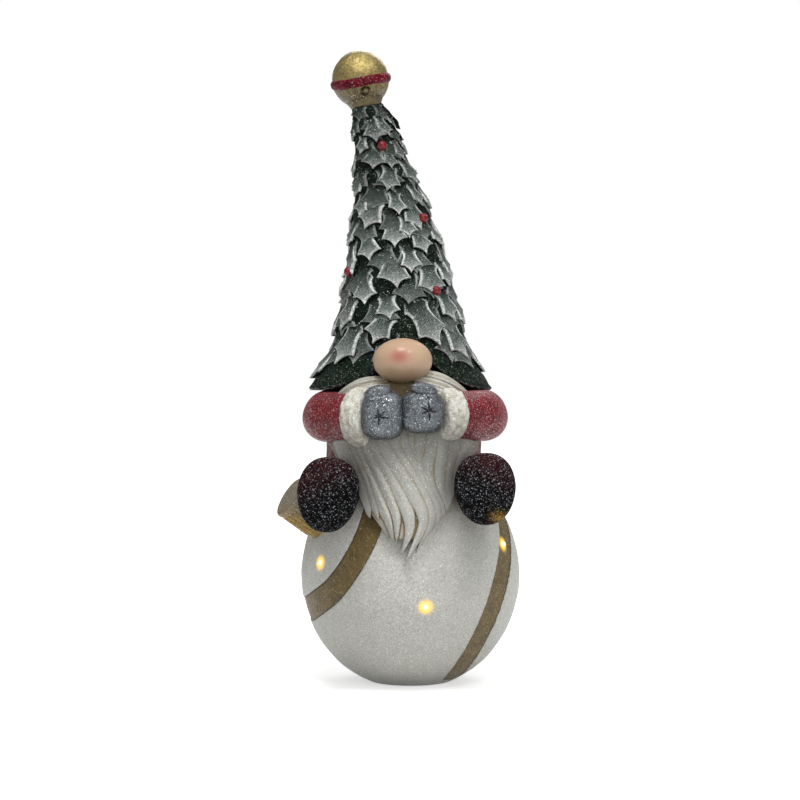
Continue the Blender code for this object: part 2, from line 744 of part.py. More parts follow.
def make_cheeks():
    """Hair beside the nose."""
    strands = []
    for sign in (-1.0, 1.0):
        for start, end in CHEEK_STRANDS:
            a = Vector((sign * start[0] + NOSE_CENTRE.x, start[1], start[2]))
            b = Vector((sign * end[0] + NOSE_CENTRE.x, end[1], end[2]))
            middle = (a + b) * 0.5 + CHEEK_BOW
            line = smooth_line((a, middle, b), len(CHEEK_SHARES))
            radii = [CHEEK_THICKNESS * share for share in CHEEK_SHARES]
            strands.append(swept("cheek", line, radii, 6, 0.8))
    return strands


def make_sleeve(points, cuff):
    """Bent sleeve, round at the shoulder, its end inside the cuff."""
    line = smooth_line(points + (cuff,), len(SLEEVE_SHARES))
    return swept("sleeve", line, [SLEEVE_RADIUS * share for share in SLEEVE_SHARES], 12)


def make_cuff(centre, radius, sign):
    """Fur cuff: a rounded ring round the wrist with soft tufts."""
    axis = Vector((sign * math.cos(CUFF_TURN), -math.sin(CUFF_TURN), 0.0))
    side, up = frame_along(axis)
    count = 2 * CUFF_TUFTS
    half = 0.5 * CUFF_LENGTH
    rings = [[centre - axis * half]]
    for row, (along, share) in enumerate(CUFF_STATIONS):
        middle = centre + axis * (half * along)
        ring = circle(middle, radius * share, side, up, count)
        for i, point in enumerate(ring):
            tuft = CUFF_TUFT_DEPTH if (i + row // 2) % 2 else -CUFF_TUFT_DEPTH
            ring[i] = point + (point - middle).normalized() * tuft
        rings.append(ring)
    rings.append([centre + axis * half])
    return loft("cuff", rings)


def make_star_cutter(middle):
    """Six-pointed star as one prism, sunk along +Y."""
    outline = []
    for arm, notch in zip(circle(middle, STAR_OUTER, UPWARDS, SIDEWAYS, 6),
                          circle(middle, STAR_INNER, UPWARDS, SIDEWAYS, 12)[1::2]):
        outline += [arm, notch]
    deep = Vector((0.0, 2.0 * STAR_DEPTH, 0.0))
    return loft("star", [[p - deep * 3.0 for p in outline], [p + deep for p in outline]])


def make_mitten(centre, half, sign):
    """Mitten with its thumb on top and a six-armed star cut in its back."""
    hand = oval("mitten", centre, half, 8, 12, MITTEN_SQUARENESS)
    thumb_at = centre + Vector((-sign * THUMB_SHIFT, -0.4 * half.y, half.z - 0.2 * THUMB_HALF.z))
    combine(hand, [oval("thumb", thumb_at, THUMB_HALF, 5, 8)], "UNION")
    middle = Vector((centre.x - sign * STAR_SHIFT, centre.y - half.y, centre.z - STAR_DROP))
    return combine(hand, [make_star_cutter(middle)], "DIFFERENCE")


# Legs and boots

def boot_ring(centre, half, tilt, y, scale):
    """Outline of a boot's section: squarish oval, narrower at the heel."""
    ring = []
    for i in range(BOOT_SEGMENTS):
        a = TAU * i / BOOT_SEGMENTS
        x = half.x * math.copysign(abs(math.cos(a)) ** (2.0 / BOOT_SQUARENESS), math.cos(a))
        z = half.y * math.copysign(abs(math.sin(a)) ** (2.0 / BOOT_SQUARENESS), math.sin(a))
        x *= 1.0 - BOOT_HEEL_TAPER * max(0.0, -z / half.y)
        ring.append(Vector((centre.x + scale * (x * math.cos(tilt) - z * math.sin(tilt)), y,
                            centre.y + scale * (x * math.sin(tilt) + z * math.cos(tilt)))))
    return ring


def make_boot(centre, half, tilt):
    """Boot with its sole to the front and a crease behind the sole."""
    rings = [boot_ring(centre, half, tilt, BOOT_SOLE_Y + deep, scale) for deep, scale in BOOT_STATIONS]
    return loft("boot", rings)


def leg_line(centre, reach):
    """Line from the hip to a distance inside the boot."""
    hip = Vector((COAT_CENTRE.x + 0.55 * (centre.x - COAT_CENTRE.x), COAT_CENTRE.y - 0.012, centre.y + 0.010))
    knee = Vector((centre.x * 0.92, KNEE_Y, centre.y + 0.003))
    ankle = Vector((centre.x, BOOT_SOLE_Y + BOOT_LENGTH - reach, centre.y))
    return smooth_line((hip, knee, ankle), 6)


def make_leg(centre):
    """Trouser leg from the coat to the boot."""
    return swept("leg", leg_line(centre, 0.012), [LEG_RADIUS * share for share in LEG_SHARES], 10)


def make_leg_cavity(centre, half):
    """Hollow of a leg and its boot, open to the coat's hollow."""
    narrow = LEG_RADIUS - WALL
    wide = half.x - WALL - 0.002
    line = leg_line(centre, BOOT_LENGTH - WALL - 0.003)
    return swept("leg_cavity", line, [0.0, narrow, narrow, narrow, wide, 0.0], 8)


# Casting

def make_casting(paint):
    """The whole hollow casting with its lamp holes, gold band bed and tray seat."""
    hat = combine(make_hat(), make_leaves() + make_berries(), "UNION")
    figure = make_coat()
    pieces = [thin_out(hat, HAT_SHARE), make_bell(), make_beard(), make_nose()]
    pieces += make_cheeks()
    pieces += [make_leg(BOOT_LEFT_CENTRE), make_boot(BOOT_LEFT_CENTRE, BOOT_LEFT_HALF, BOOT_LEFT_TILT)]
    pieces += [make_leg(BOOT_RIGHT_CENTRE), make_boot(BOOT_RIGHT_CENTRE, BOOT_RIGHT_HALF, BOOT_RIGHT_TILT)]
    pieces += [make_sleeve(SLEEVE_LEFT, CUFF_LEFT_CENTRE)]
    pieces += [make_cuff(CUFF_LEFT_CENTRE, CUFF_LEFT_RADIUS, 1.0)]
    pieces += [make_mitten(MITTEN_LEFT_CENTRE, MITTEN_LEFT_HALF, 1.0)]
    pieces += [make_sleeve(SLEEVE_RIGHT, CUFF_RIGHT_CENTRE)]
    pieces += [make_cuff(CUFF_RIGHT_CENTRE, CUFF_RIGHT_RADIUS, -1.0)]
    pieces += [make_mitten(MITTEN_RIGHT_CENTRE, MITTEN_RIGHT_HALF, -1.0)]
    combine(figure, pieces, "UNION")
    leg_hollows = [make_leg_cavity(BOOT_LEFT_CENTRE, BOOT_LEFT_HALF),
                   make_leg_cavity(BOOT_RIGHT_CENTRE, BOOT_RIGHT_HALF)]
    for body in [figure] + leg_hollows:
        body.data.transform(Matrix.Translation(UPWARDS * figure_lift()))
    casting = combine(make_ball(), [make_band_cutter()], "DIFFERENCE")
    combine(casting, [make_cap(), thin_out(figure, FIGURE_SHARE)], "UNION")
    reach = 2.0 * BALL_RADIUS
    ground = box("ground", (-reach, -reach, -reach), (reach, reach, 0.0))
    hollows = [make_cavity()] + leg_hollows
    holes = [lamp_hole(azimuth, elevation) for _, azimuth, elevation in LAMPS]
    combine(casting, [ground] + hollows + holes + [make_tray_seat()], "DIFFERENCE")
    casting.name = "statue_casting"
    return finish(casting, paint)


# Lamps and wires

def lamp_hole(azimuth, elevation):
    """Hole through the wall for a lamp, wider inside for its collar."""
    way = ball_direction(azimuth, elevation)
    skin = ball_reach(way)
    bore = LAMP_RADIUS + CLEARANCE
    shoulder = LAMP_FLANGE_RADIUS + CLEARANCE
    return turned("lamp_hole", BALL_CENTRE, way,
                  ((skin - 2.0 * WALL, 0.0), (skin - 2.0 * WALL, shoulder), (skin - LAMP_SEAT, shoulder),
                   (skin - LAMP_SEAT, bore), (skin + 0.006, bore), (skin + 0.006, 0.0)), LAMP_STEPS)


def lamp_back(azimuth, elevation):
    """Distance from the ball's centre to the back of a lamp."""
    way = ball_direction(azimuth, elevation)
    return ball_reach(way) - LAMP_SEAT - CLEARANCE - LAMP_COLLAR


def make_lamp(name, azimuth, elevation, paint):
    """Round lamp: domed end just proud of the ball, collar inside the wall."""
    way = ball_direction(azimuth, elevation)
    skin = ball_reach(way)
    collar = skin - LAMP_SEAT - CLEARANCE
    back = lamp_back(azimuth, elevation)
    dome = skin + LAMP_PROUD
    profile = ((back, 0.0), (back, LAMP_FLANGE_RADIUS), (collar, LAMP_FLANGE_RADIUS), (collar, LAMP_RADIUS),
               (dome - LAMP_RADIUS, LAMP_RADIUS), (dome - 0.42 * LAMP_RADIUS, 0.82 * LAMP_RADIUS),
               (dome - 0.10 * LAMP_RADIUS, 0.42 * LAMP_RADIUS), (dome, 0.0))
    return finish(turned(name, BALL_CENTRE, way, profile, LAMP_STEPS), paint)


def make_wire(name, azimuth, elevation, slot, paint):
    """Wire from a lamp's back to the roof of the battery tray, along the cavity."""
    way = ball_direction(azimuth, elevation)
    start = BALL_CENTRE + way * (lamp_back(azimuth, elevation) - CLEARANCE)
    inward = start - way * WIRE_INWARD
    end = Vector((BALL_CENTRE.x + slot, BALL_CENTRE.y + WIRE_END_Y, tray_top() + CLEARANCE))
    above = end + UPWARDS * WIRE_RISE
    droop = (inward + above) * 0.5 - UPWARDS * WIRE_DROOP
    points = smooth_line((start, inward, droop, above, end), WIRE_STEPS)
    side = (end - start).cross(UPWARDS).normalized()
    rings = []
    for before, here, after in zip(points[:1] + points[:-1], points, points[1:] + points[-1:]):
        up = side.cross(after - before).normalized()
        rings.append(circle(here, WIRE_RADIUS, side, up, WIRE_SEGMENTS))
    return finish(loft(name, rings), paint)


# Battery tray, door, cells, contacts

def tray_floor():
    """Underside of the tray's flange."""
    return TRAY_RECESS


def flange_top():
    """Upper side of the tray's flange."""
    return tray_floor() + TRAY_FLANGE_THICKNESS


def bay_half():
    """Half length and half width of the room for the cells."""
    half_length = 0.5 * CELL_LENGTH + 2.0 * CLEARANCE + CONTACT_THICKNESS
    half_width = 0.5 * CELL_PITCH + CELL_RADIUS + CLEARANCE
    return half_length, half_width


def cell_z():
    """Height of the cells' axes, just above the door."""
    return tray_floor() + DOOR_THICKNESS + CLEARANCE + CELL_RADIUS


def bay_roof():
    """Underside of the tray's roof above the cells."""
    return cell_z() + CELL_RADIUS + CLEARANCE


def tray_top():
    """Upper side of the tray."""
    return bay_roof() + TRAY_ROOF


def tray_box(name, half_x, half_y, low, high, shift_x=0.0, shift_y=0.0):
    """Box about the tray's middle."""
    x = BALL_CENTRE.x + shift_x
    y = BALL_CENTRE.y + shift_y
    return box(name, (x - half_x, y - half_y, low), (x + half_x, y + half_y, high))


def pin(name, shift_x, low, high, radius, count):
    """Upright round bar, to one side of the tray's middle."""
    origin = (BALL_CENTRE.x + shift_x, BALL_CENTRE.y, 0.0)
    return turned(name, origin, UPWARDS, ((low, 0.0), (low, radius), (high, radius), (high, 0.0)), count)


def door_tongue(low, high, room):
    """Bar from the tray's middle to beyond the door's screw, with room round it where it is a recess."""
    half = 0.5 * DOOR_TONGUE_WIDTH + room
    return box("tongue", (BALL_CENTRE.x, BALL_CENTRE.y - half, low),
               (BALL_CENTRE.x + DOOR_TONGUE_REACH + room, BALL_CENTRE.y + half, high))


def make_tray_seat():
    """Opening in the foot, stepped for the tray's flange."""
    seat = TRAY_FLANGE_RADIUS + CLEARANCE
    step = flange_top() + CLEARANCE
    top = FOOT_THICKNESS + 0.004
    profile = ((-0.004, 0.0), (-0.004, seat), (step, seat), (step, TRAY_OPENING_RADIUS),
               (top, TRAY_OPENING_RADIUS), (top, 0.0))
    return turned("tray_seat", (BALL_CENTRE.x, BALL_CENTRE.y, 0.0), UPWARDS, profile, TRAY_SEGMENTS)


def make_tray(paint):
    """Round flange with a box for the cells above it and a housing for the switch."""
    half_x, half_y = bay_half()
    tray = pin("battery_tray", 0.0, tray_floor(), flange_top(), TRAY_FLANGE_RADIUS, TRAY_SEGMENTS)
    root = flange_top() - TRAY_ROOT
    body = tray_box("body", half_x + TRAY_WALL, half_y + TRAY_WALL, root, tray_top())
    boss = pin("boss", SCREW_X, root, tray_floor() + SCREW_LENGTH + SCREW_BOSS_ROOF, SCREW_BOSS_RADIUS, 12)
    plate_x = 0.5 * (SWITCH_PLATE.x + SWITCH_TRAVEL) + CLEARANCE
    plate_y = 0.5 * SWITCH_PLATE.y + CLEARANCE
    room_top = flange_top() + SWITCH_PLATE_THICKNESS + 2.0 * CLEARANCE
    shift = -0.5 * SWITCH_TRAVEL
    housing = tray_box("housing", plate_x + SWITCH_HOUSING_WALL, plate_y + SWITCH_HOUSING_WALL, root,
                       room_top + SWITCH_HOUSING_WALL, shift, SWITCH_Y)
    combine(tray, [body, boss, housing], "UNION")
    low = tray_floor() - 0.002
    room = tray_box("room", half_x, half_y, low, bay_roof())
    tongue = door_tongue(low, tray_floor() + DOOR_THICKNESS + CLEARANCE, CLEARANCE)
    hole = pin("hole", SCREW_X, low, tray_floor() + SCREW_LENGTH + CLEARANCE,
               SCREW_SHANK_RADIUS + CLEARANCE, 10)
    knob_x = 0.5 * (SWITCH_KNOB.x + SWITCH_TRAVEL) + CLEARANCE
    knob_y = 0.5 * SWITCH_KNOB.y + CLEARANCE
    slot = tray_box("slot", knob_x, knob_y, low, flange_top() + CLEARANCE, shift, SWITCH_Y)
    plate_room = tray_box("plate_room", plate_x, plate_y, flange_top(), room_top, shift, SWITCH_Y)
    return finish(combine(tray, [room, tongue, hole, slot, plate_room], "DIFFERENCE"), paint)


def make_door(paint):
    """Flat door under the cells, with a tongue for the screw."""
    half_x, half_y = bay_half()
    low = tray_floor()
    door = tray_box("battery_door", half_x - CLEARANCE, half_y - CLEARANCE, low, low + DOOR_THICKNESS)
    combine(door, [door_tongue(low, low + DOOR_THICKNESS, 0.0)], "UNION")
    head = SCREW_HEAD_RADIUS + CLEARANCE
    shank = SCREW_SHANK_RADIUS + CLEARANCE
    seat = low + SCREW_HEAD_HEIGHT + CLEARANCE
    hole = turned("hole", (BALL_CENTRE.x + SCREW_X, BALL_CENTRE.y, 0.0), UPWARDS,
                  ((low - 0.002, 0.0), (low - 0.002, head), (seat, head), (seat, shank), (low + 0.004, shank),
                   (low + 0.004, 0.0)), 12)
    return finish(combine(door, [hole], "DIFFERENCE"), paint)


def make_screw(paint):
    """Screw that holds the door."""
    low = tray_floor()
    screw = turned("door_screw", (BALL_CENTRE.x + SCREW_X, BALL_CENTRE.y, 0.0), UPWARDS,
                   ((low, 0.0), (low, SCREW_HEAD_RADIUS), (low + SCREW_HEAD_HEIGHT, SCREW_HEAD_RADIUS),
                    (low + SCREW_HEAD_HEIGHT, SCREW_SHANK_RADIUS), (low + SCREW_LENGTH, SCREW_SHANK_RADIUS),
                    (low + SCREW_LENGTH, 0.0)), 10)
    return finish(screw, paint)


def make_cell(name, side, paint):
    """Round cell with its button; the two cells lie head to tail."""
    start = Vector((BALL_CENTRE.x - side * 0.5 * CELL_LENGTH, BALL_CENTRE.y + side * 0.5 * CELL_PITCH,
                    cell_z()))
    body = CELL_LENGTH - CELL_BUTTON_LENGTH
    profile = ((0.0, 0.0), (0.0, 0.85 * CELL_RADIUS), (CELL_EDGE, CELL_RADIUS),
               (body - CELL_EDGE, CELL_RADIUS), (body, 0.85 * CELL_RADIUS), (body, CELL_BUTTON_RADIUS),
               (CELL_LENGTH, CELL_BUTTON_RADIUS), (CELL_LENGTH, 0.0))
    return finish(turned(name, start, (side, 0.0, 0.0), profile, 12), paint)


def make_contact(name, side, low_y, high_y, paint):
    """Contact plate at one end of the bay."""
    half_x, _ = bay_half()
    wall_x = BALL_CENTRE.x + side * (half_x - CLEARANCE)
    face_x = wall_x - side * CONTACT_THICKNESS
    return finish(box(name, (min(wall_x, face_x), BALL_CENTRE.y + low_y, cell_z() - CONTACT_HALF_HEIGHT),
                      (max(wall_x, face_x), BALL_CENTRE.y + high_y, cell_z() + CONTACT_HALF_HEIGHT)), paint)


def make_switch(paint):
    """Slide switch: a knob in the slot and a plate over it. Its origin is on the way it slides."""
    low = tray_floor() + CLEARANCE
    plate_low = flange_top() + CLEARANCE
    knob = tray_box("switch_slider", 0.5 * SWITCH_KNOB.x, 0.5 * SWITCH_KNOB.y, low,
                    plate_low + 0.5 * SWITCH_PLATE_THICKNESS, 0.0, SWITCH_Y)
    plate = tray_box("plate", 0.5 * SWITCH_PLATE.x, 0.5 * SWITCH_PLATE.y, plate_low,
                     plate_low + SWITCH_PLATE_THICKNESS, 0.0, SWITCH_Y)
    combine(knob, [plate], "UNION")
    origin = Vector((BALL_CENTRE.x, BALL_CENTRE.y + SWITCH_Y, plate_low))
    knob.data.transform(Matrix.Translation(-origin))
    knob.location = origin
    return finish(knob, paint)


def main():
    for old in list(bpy.data.objects):
        bpy.data.objects.remove(old, do_unlink=True)
    cast_paint = material("cast_paint", (0.50, 0.50, 0.47), 0.6)
    lamp_paint = material("lamp_lens", (1.0, 0.75, 0.35), 0.2, 0.0, 2.0)
    tray_paint = material("tray_plastic", (0.03, 0.03, 0.03), 0.5)
    steel = material("plated_steel", (0.60, 0.60, 0.58), 0.3, 1.0)
    cell_paint = material("cell_label", (0.12, 0.16, 0.12), 0.4)
    wire_paint = material("wire_cover", (0.55, 0.04, 0.03), 0.5)
    make_casting(cast_paint)
    for name, azimuth, elevation in LAMPS:
        make_lamp("led_lamp_" + name, azimuth, elevation, lamp_paint)
    for (name, azimuth, elevation), slot in zip(LAMPS, WIRE_SLOTS):
        make_wire("lamp_wire_" + name, azimuth, elevation, slot, wire_paint)
    make_tray(tray_paint)
    make_door(tray_paint)
    make_screw(steel)
    make_cell("battery_front", -1.0, cell_paint)
    make_cell("battery_back", 1.0, cell_paint)
    half_y = bay_half()[1] - CLEARANCE
    make_contact("contact_bridge", 1.0, -half_y, half_y, steel)
    make_contact("contact_front", -1.0, -half_y, -0.5 * CONTACT_GAP, steel)
    make_contact("contact_back", -1.0, 0.5 * CONTACT_GAP, half_y, steel)
    make_switch(tray_paint)


main()
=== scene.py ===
"""Finished surfaces, lights and camera for a cast gnome statue on an ornament ball.

It is laid out as an add-on and run as a script. Metres, +Z up, the gnome looks to -Y.
"""

import math

import bmesh
import bpy
import numpy as np
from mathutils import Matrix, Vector, noise


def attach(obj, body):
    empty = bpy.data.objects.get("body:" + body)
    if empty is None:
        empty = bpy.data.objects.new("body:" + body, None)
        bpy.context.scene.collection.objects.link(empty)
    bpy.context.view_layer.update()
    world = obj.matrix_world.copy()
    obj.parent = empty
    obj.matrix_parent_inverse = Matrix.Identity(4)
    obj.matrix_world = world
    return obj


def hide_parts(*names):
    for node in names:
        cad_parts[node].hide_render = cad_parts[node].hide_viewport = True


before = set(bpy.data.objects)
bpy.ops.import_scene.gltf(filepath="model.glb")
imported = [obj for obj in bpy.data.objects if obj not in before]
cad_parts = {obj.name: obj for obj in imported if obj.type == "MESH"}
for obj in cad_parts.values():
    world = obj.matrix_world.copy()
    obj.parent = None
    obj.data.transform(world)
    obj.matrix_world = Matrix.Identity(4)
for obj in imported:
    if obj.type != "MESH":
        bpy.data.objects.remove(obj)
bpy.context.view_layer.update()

bl_info = {
    "name": "Gnome Statue",
    "version": (1, 0, 0),
    "blender": (4, 5, 0),
    "location": "View3D > Sidebar > Statue",
    "description": "Builds the finished surfaces of a cast gnome statue over its solid model",
    "category": "Object",
}

BODY = "statue"
CASTING = "statue_casting"
TAU = 2.0 * math.pi
MM = 0.001
UP = Vector((0.0, 0.0, 1.0))

# Ball and the gold band that winds round its cap axis
BALL_CENTRE = Vector((0.0090, 0.0180, 0.0930))
BALL_RADIUS = 0.0953
BALL_HALF_HEIGHT = 0.1000
SEAT_RADIUS = 0.0306
SEAT_STEP = 0.0033
OPENING_RADIUS = 0.0288
FOOT_THICKNESS = 0.0150
CAP_SLOPE = math.radians(33.8)
CAP_TURN = math.radians(18.0)
CAP_REACH = 0.0345
CAP_END_RADIUS = 0.0180
CAP_ROOT_RADIUS = 0.0198
CAP_RIM = ((-0.0026, 0.0007), (-0.0014, 0.0008), (-0.0004, 0.0), (0.0, -0.0012))
CAP_FLUTES = 28.0
CAP_FLUTE_DEPTH = 0.0006
# Course of the band: turn about the cap's axis and angle from it
BAND_COURSE = ((250.0, 34.0), (188.0, 38.5), (135.0, 43.0), (84.0, 49.0), (-20.0, 78.0),
               (-121.0, 108.0), (-173.0, 119.6), (-217.0, 128.0), (-290.0, 143.0))
# Marks of points on the ball that lie away from the band and from the lamps, in mm
FAR_FROM_BAND = 9.0
FAR_FROM_LAMP = 20.0
# Lamps: name, turn from the front and height angle on the ball
LAMPS = (("left", -54.0, 8.5), ("front", 7.5, -11.5), ("right", 60.4, 17.8))
# Stem of a lens from its flange to its dome: distance over the ball's skin and radius
LENS_STEM = ((-0.0078, 0.0029), (-0.0070, 0.0029), (-0.0069, 0.0025), (-0.0014, 0.0025))
LENS_DOME = 0.0026

# Hat
BRIM_Z = 0.2535
HAT_TOP_Z = 0.5030
HAT_CENTRE = Vector((0.0003, 0.0240))
HAT_BASE_RADIUS = 0.0665
HAT_TOP_RADIUS = 0.0130
HAT_HOLLOW = 0.0005
HAT_DEPTH_RATIO = 0.93
HAT_LEAN = 0.0300
HAT_LEAN_POWER = 2.8
BRIM_FLARE = 0.0125
BRIM_FLARE_SHARE = 0.09
ARCH_RISE = 0.0300
ARCH_TURN = math.radians(11.0)
ARCH_SPREAD = {-1.0: math.radians(31.0), 1.0: math.radians(22.0)}
ARCH_POWER = 1.7
HAT_HEIGHT = HAT_TOP_Z - BRIM_Z
# Rolled brim, from inside the hat to outside: distance off the hat and height over its edge
BRIM_PROFILE = ((-0.0300, 0.0120), (-0.0160, 0.0075), (-0.0065, 0.0035), (-0.0030, 0.0008),
                (-0.0012, -0.0003), (0.0, 0.0004), (0.0008, 0.0018))
BRIM_SHARE = 0.010
BRIM_LIP = 0.0050
BRIM_LIP_RISE = 0.011

# Leaves that show from the front: turn and share of the hat's height at the tip and at the root, half width
# in mm
FRONT_LEAVES = (
    (-3, 0.859, -7, 0.980, 7.7), (80, 0.917, 60, 1.010, 5.6), (80, 0.826, 70, 0.935, 6.9),
    (-84, 0.872, -50, 0.975, 5.8), (35, 0.880, 28, 0.990, 6.2), (-20, 0.765, -13, 0.875, 9.0),
    (62, 0.719, 42, 0.845, 8.6), (-84, 0.745, -80, 0.860, 6.2), (-3, 0.686, 17, 0.820, 9.5),
    (-65, 0.673, -42, 0.780, 7.4), (86, 0.636, 76, 0.745, 7.4), (-40, 0.554, -18, 0.705, 10.0),
    (38, 0.550, 28, 0.710, 11.4), (-1, 0.488, -5, 0.630, 11.2), (96, 0.506, 84, 0.640, 8.0),
    (70, 0.508, 60, 0.610, 7.6), (-84, 0.504, -66, 0.625, 8.4), (-31, 0.444, -42, 0.580, 10.6),
    (37, 0.470, 27, 0.590, 10.4), (-54, 0.399, -82, 0.525, 9.6), (-1, 0.345, 0, 0.510, 13.2),
    (37, 0.320, 34, 0.480, 12.4), (82, 0.393, 62, 0.520, 9.4), (-33, 0.291, -39, 0.435, 11.6),
    (33, 0.147, 6, 0.355, 15.0), (-22, 0.155, -6, 0.300, 12.0), (61, 0.108, 48, 0.290, 12.6),
    (92, 0.063, 78, 0.225, 11.0), (-53, 0.087, -38, 0.280, 13.2), (-82, 0.040, -68, 0.205, 11.6),
    (-60, 0.207, -52, 0.370, 10.4), (-92, 0.189, -76, 0.330, 10.4), (84, 0.230, 66, 0.365, 10.6),
    (-96, 0.330, -90, 0.455, 10.0), (10, 0.600, 12, 0.720, 8.0), (62, 0.360, 55, 0.480, 9.0),
    (58, 0.235, 48, 0.385, 10.6), (-8, 0.238, -14, 0.360, 9.4), (14, 0.400, 12, 0.520, 8.6),
    (52, 0.640, 44, 0.745, 7.2), (14, 0.765, 20, 0.865, 6.6), (50, 0.800, 42, 0.900, 6.2),
    (-50, 0.600, -40, 0.715, 7.6), (18, 0.520, 14, 0.640, 7.4), (-44, 0.820, -34, 0.915, 5.8),
)
# Rows of leaves round the sides and the back: share at the tip, number in the full ring, length in mm
BACK_ROWS = ((0.045, 11, 42.0), (0.155, 10, 41.0), (0.265, 9, 39.0), (0.372, 8, 38.0), (0.475, 7, 36.0),
             (0.572, 6, 33.0), (0.664, 6, 30.0), (0.752, 5, 27.0), (0.838, 5, 25.0), (0.910, 4, 22.0))
BACK_FROM = 96.0
# Outline of a half leaf: share along it from the root, share of the half width, sag of the arc that follows
LEAF_ARCS = ((0.0, 0.30, 0.10), (0.30, 0.88, 0.30), (0.68, 1.00, 0.24), (1.0, 0.0, 0.0))
LEAF_HALF_ACROSS = (0.10, 0.30, 0.55, 0.74, 0.87, 0.95, 1.0)
LEAF_ACROSS = tuple(-s for s in reversed(LEAF_HALF_ACROSS)) + (0.0,) + LEAF_HALF_ACROSS
LEAF_ROUNDING = 0.0017
LEAF_DOME = 0.0010
LEAF_RIB = 0.0008
LEAF_RIB_WIDTH = 0.0009
LEAF_CURL = 0.0012
LEAF_RIPPLE = 0.00024
LEAF_ROOT_DEPTH = 0.0012
LEAF_SKIRT = 0.0008
BERRIES = ((7.0, 0.846), (44.5, 0.594), (-62.0, 0.410), (38.5, 0.340), (160.0, 0.300),
           (-150.0, 0.520), (138.0, 0.720))
BERRY_RADIUS = 0.0042
BERRY_LIFT = 0.0038

# Bell, nose, arms, beard, coat and boots
BELL_CENTRE = Vector((-0.0347, 0.0250, 0.5262))
BELL_RADIUS = 0.0250
BELL_FOIL_RELIEF = 0.00035
BELL_NECK = ((-0.0180, 0.0166), (-0.0205, 0.0154), (-0.0225, 0.0143), (-0.0245, 0.0133), (-0.0275, 0.0118))
BELL_BAND_AXIS = Vector((-0.163, -0.17, 0.97))
BELL_BAND_PLACE = -0.0020
BELL_BAND_HALF = 0.0044
BELL_BAND_HEIGHT = 0.0022
BELL_BAND_ROOT = 0.0004
# Ring pressed in the bell's front
SEAL_WAY = Vector((0.0050, -0.0202, -0.0136))
SEAL_RADIUS = 0.0036
SEAL_LINE = 0.0006
SEAL_DEPTH = 0.0009
NOSE_CENTRE = Vector((0.0022, -0.0570, 0.2772))
NOSE_HALF = Vector((0.0248, 0.0225, 0.0190))
BLUSH_PLACE = Vector((-0.0022, -0.0220, 0.0042))
BLUSH_RADIUS = 0.0068
# Strands of hair beside the nose: start beside its middle, end under the brim, greatest radius
CHEEK_STRANDS = (((0.012, -0.054, 0.2615), (0.056, -0.040, 0.2470), 0.00644),
                 ((0.010, -0.059, 0.2560), (0.055, -0.045, 0.2410), 0.00690),
                 ((0.010, -0.062, 0.2500), (0.051, -0.049, 0.2360), 0.00713),
                 ((0.010, -0.064, 0.2440), (0.045, -0.052, 0.2310), 0.00713))
CHEEK_RAISE = {-1.0: (0.0, 0.0), 1.0: (0.0060, 0.0010)}
CHEEK_BULGE = Vector((0.0, -0.0040, 0.0030))
SLEEVE_RADIUS = 0.0220
SLEEVE_SHARES = (0.0, 0.90, 1.0, 1.0, 1.0, 0.98, 0.92, 0.86)
# Arms: side, way to the middle, sleeve's course, cuff's middle and radius, mitten's middle and half sizes
ARMS = (
    ("left", 1.0, ((-0.046, 0.034, 0.2390), (-0.0605, 0.010, 0.2318), (-0.0590, -0.020, 0.2300)),
     Vector((-0.0325, -0.0655, 0.2301)), 0.0245, Vector((-0.0141, -0.0810, 0.2320)),
     Vector((0.0176, 0.0148, 0.0200))),
    ("right", -1.0, ((0.053, 0.034, 0.2400), (0.0690, 0.010, 0.2322), (0.0680, -0.020, 0.2312)),
     Vector((0.0410, -0.0655, 0.2326)), 0.0212, Vector((0.0185, -0.0810, 0.2347)),
     Vector((0.0178, 0.0148, 0.0178))),
)
CUFF_LENGTH = 0.0185
CUFF_TURN = math.radians(26.0)
CUFF_TUFT = 0.0011
MITTEN_SQUARENESS = 3.2
# Carved stars: each arm's turn in degrees and reach in mm, and the star's middle (x, z)
STAR_ARMS = {"left": ((100, 6.2), (48, 6.0), (-4, 8.8), (-92, 6.6), (184, 4.0), (145, 3.8)),
             "right": ((95, 7.6), (42, 5.2), (-8, 6.2), (-89, 7.6), (198, 6.4), (156, 7.0))}
STAR_PLACES = {"left": (-0.0171, 0.2304), "right": (0.0239, 0.2357)}
STAR_DEPTH = 0.0007
THUMBS = {"left": Vector((-0.0180, -0.0885, 0.2510)), "right": Vector((0.0192, -0.0885, 0.2533))}
THUMB_RADIUS = 0.0064
# Main form of the beard: height, middle X, half width and front Y
BEARD_SLICES = ((0.272, 0.002, 0.026, -0.052), (0.255, 0.002, 0.048, -0.060),
                (0.232, 0.002, 0.057, -0.070), (0.210, 0.002, 0.059, -0.076),
                (0.188, 0.003, 0.050, -0.081), (0.168, 0.004, 0.042, -0.084),
                (0.150, 0.005, 0.035, -0.085), (0.136, 0.006, 0.024, -0.085),
                (0.124, 0.006, 0.012, -0.084))
BEARD_BACK = -0.0100
BEARD_STEP = 0.00056
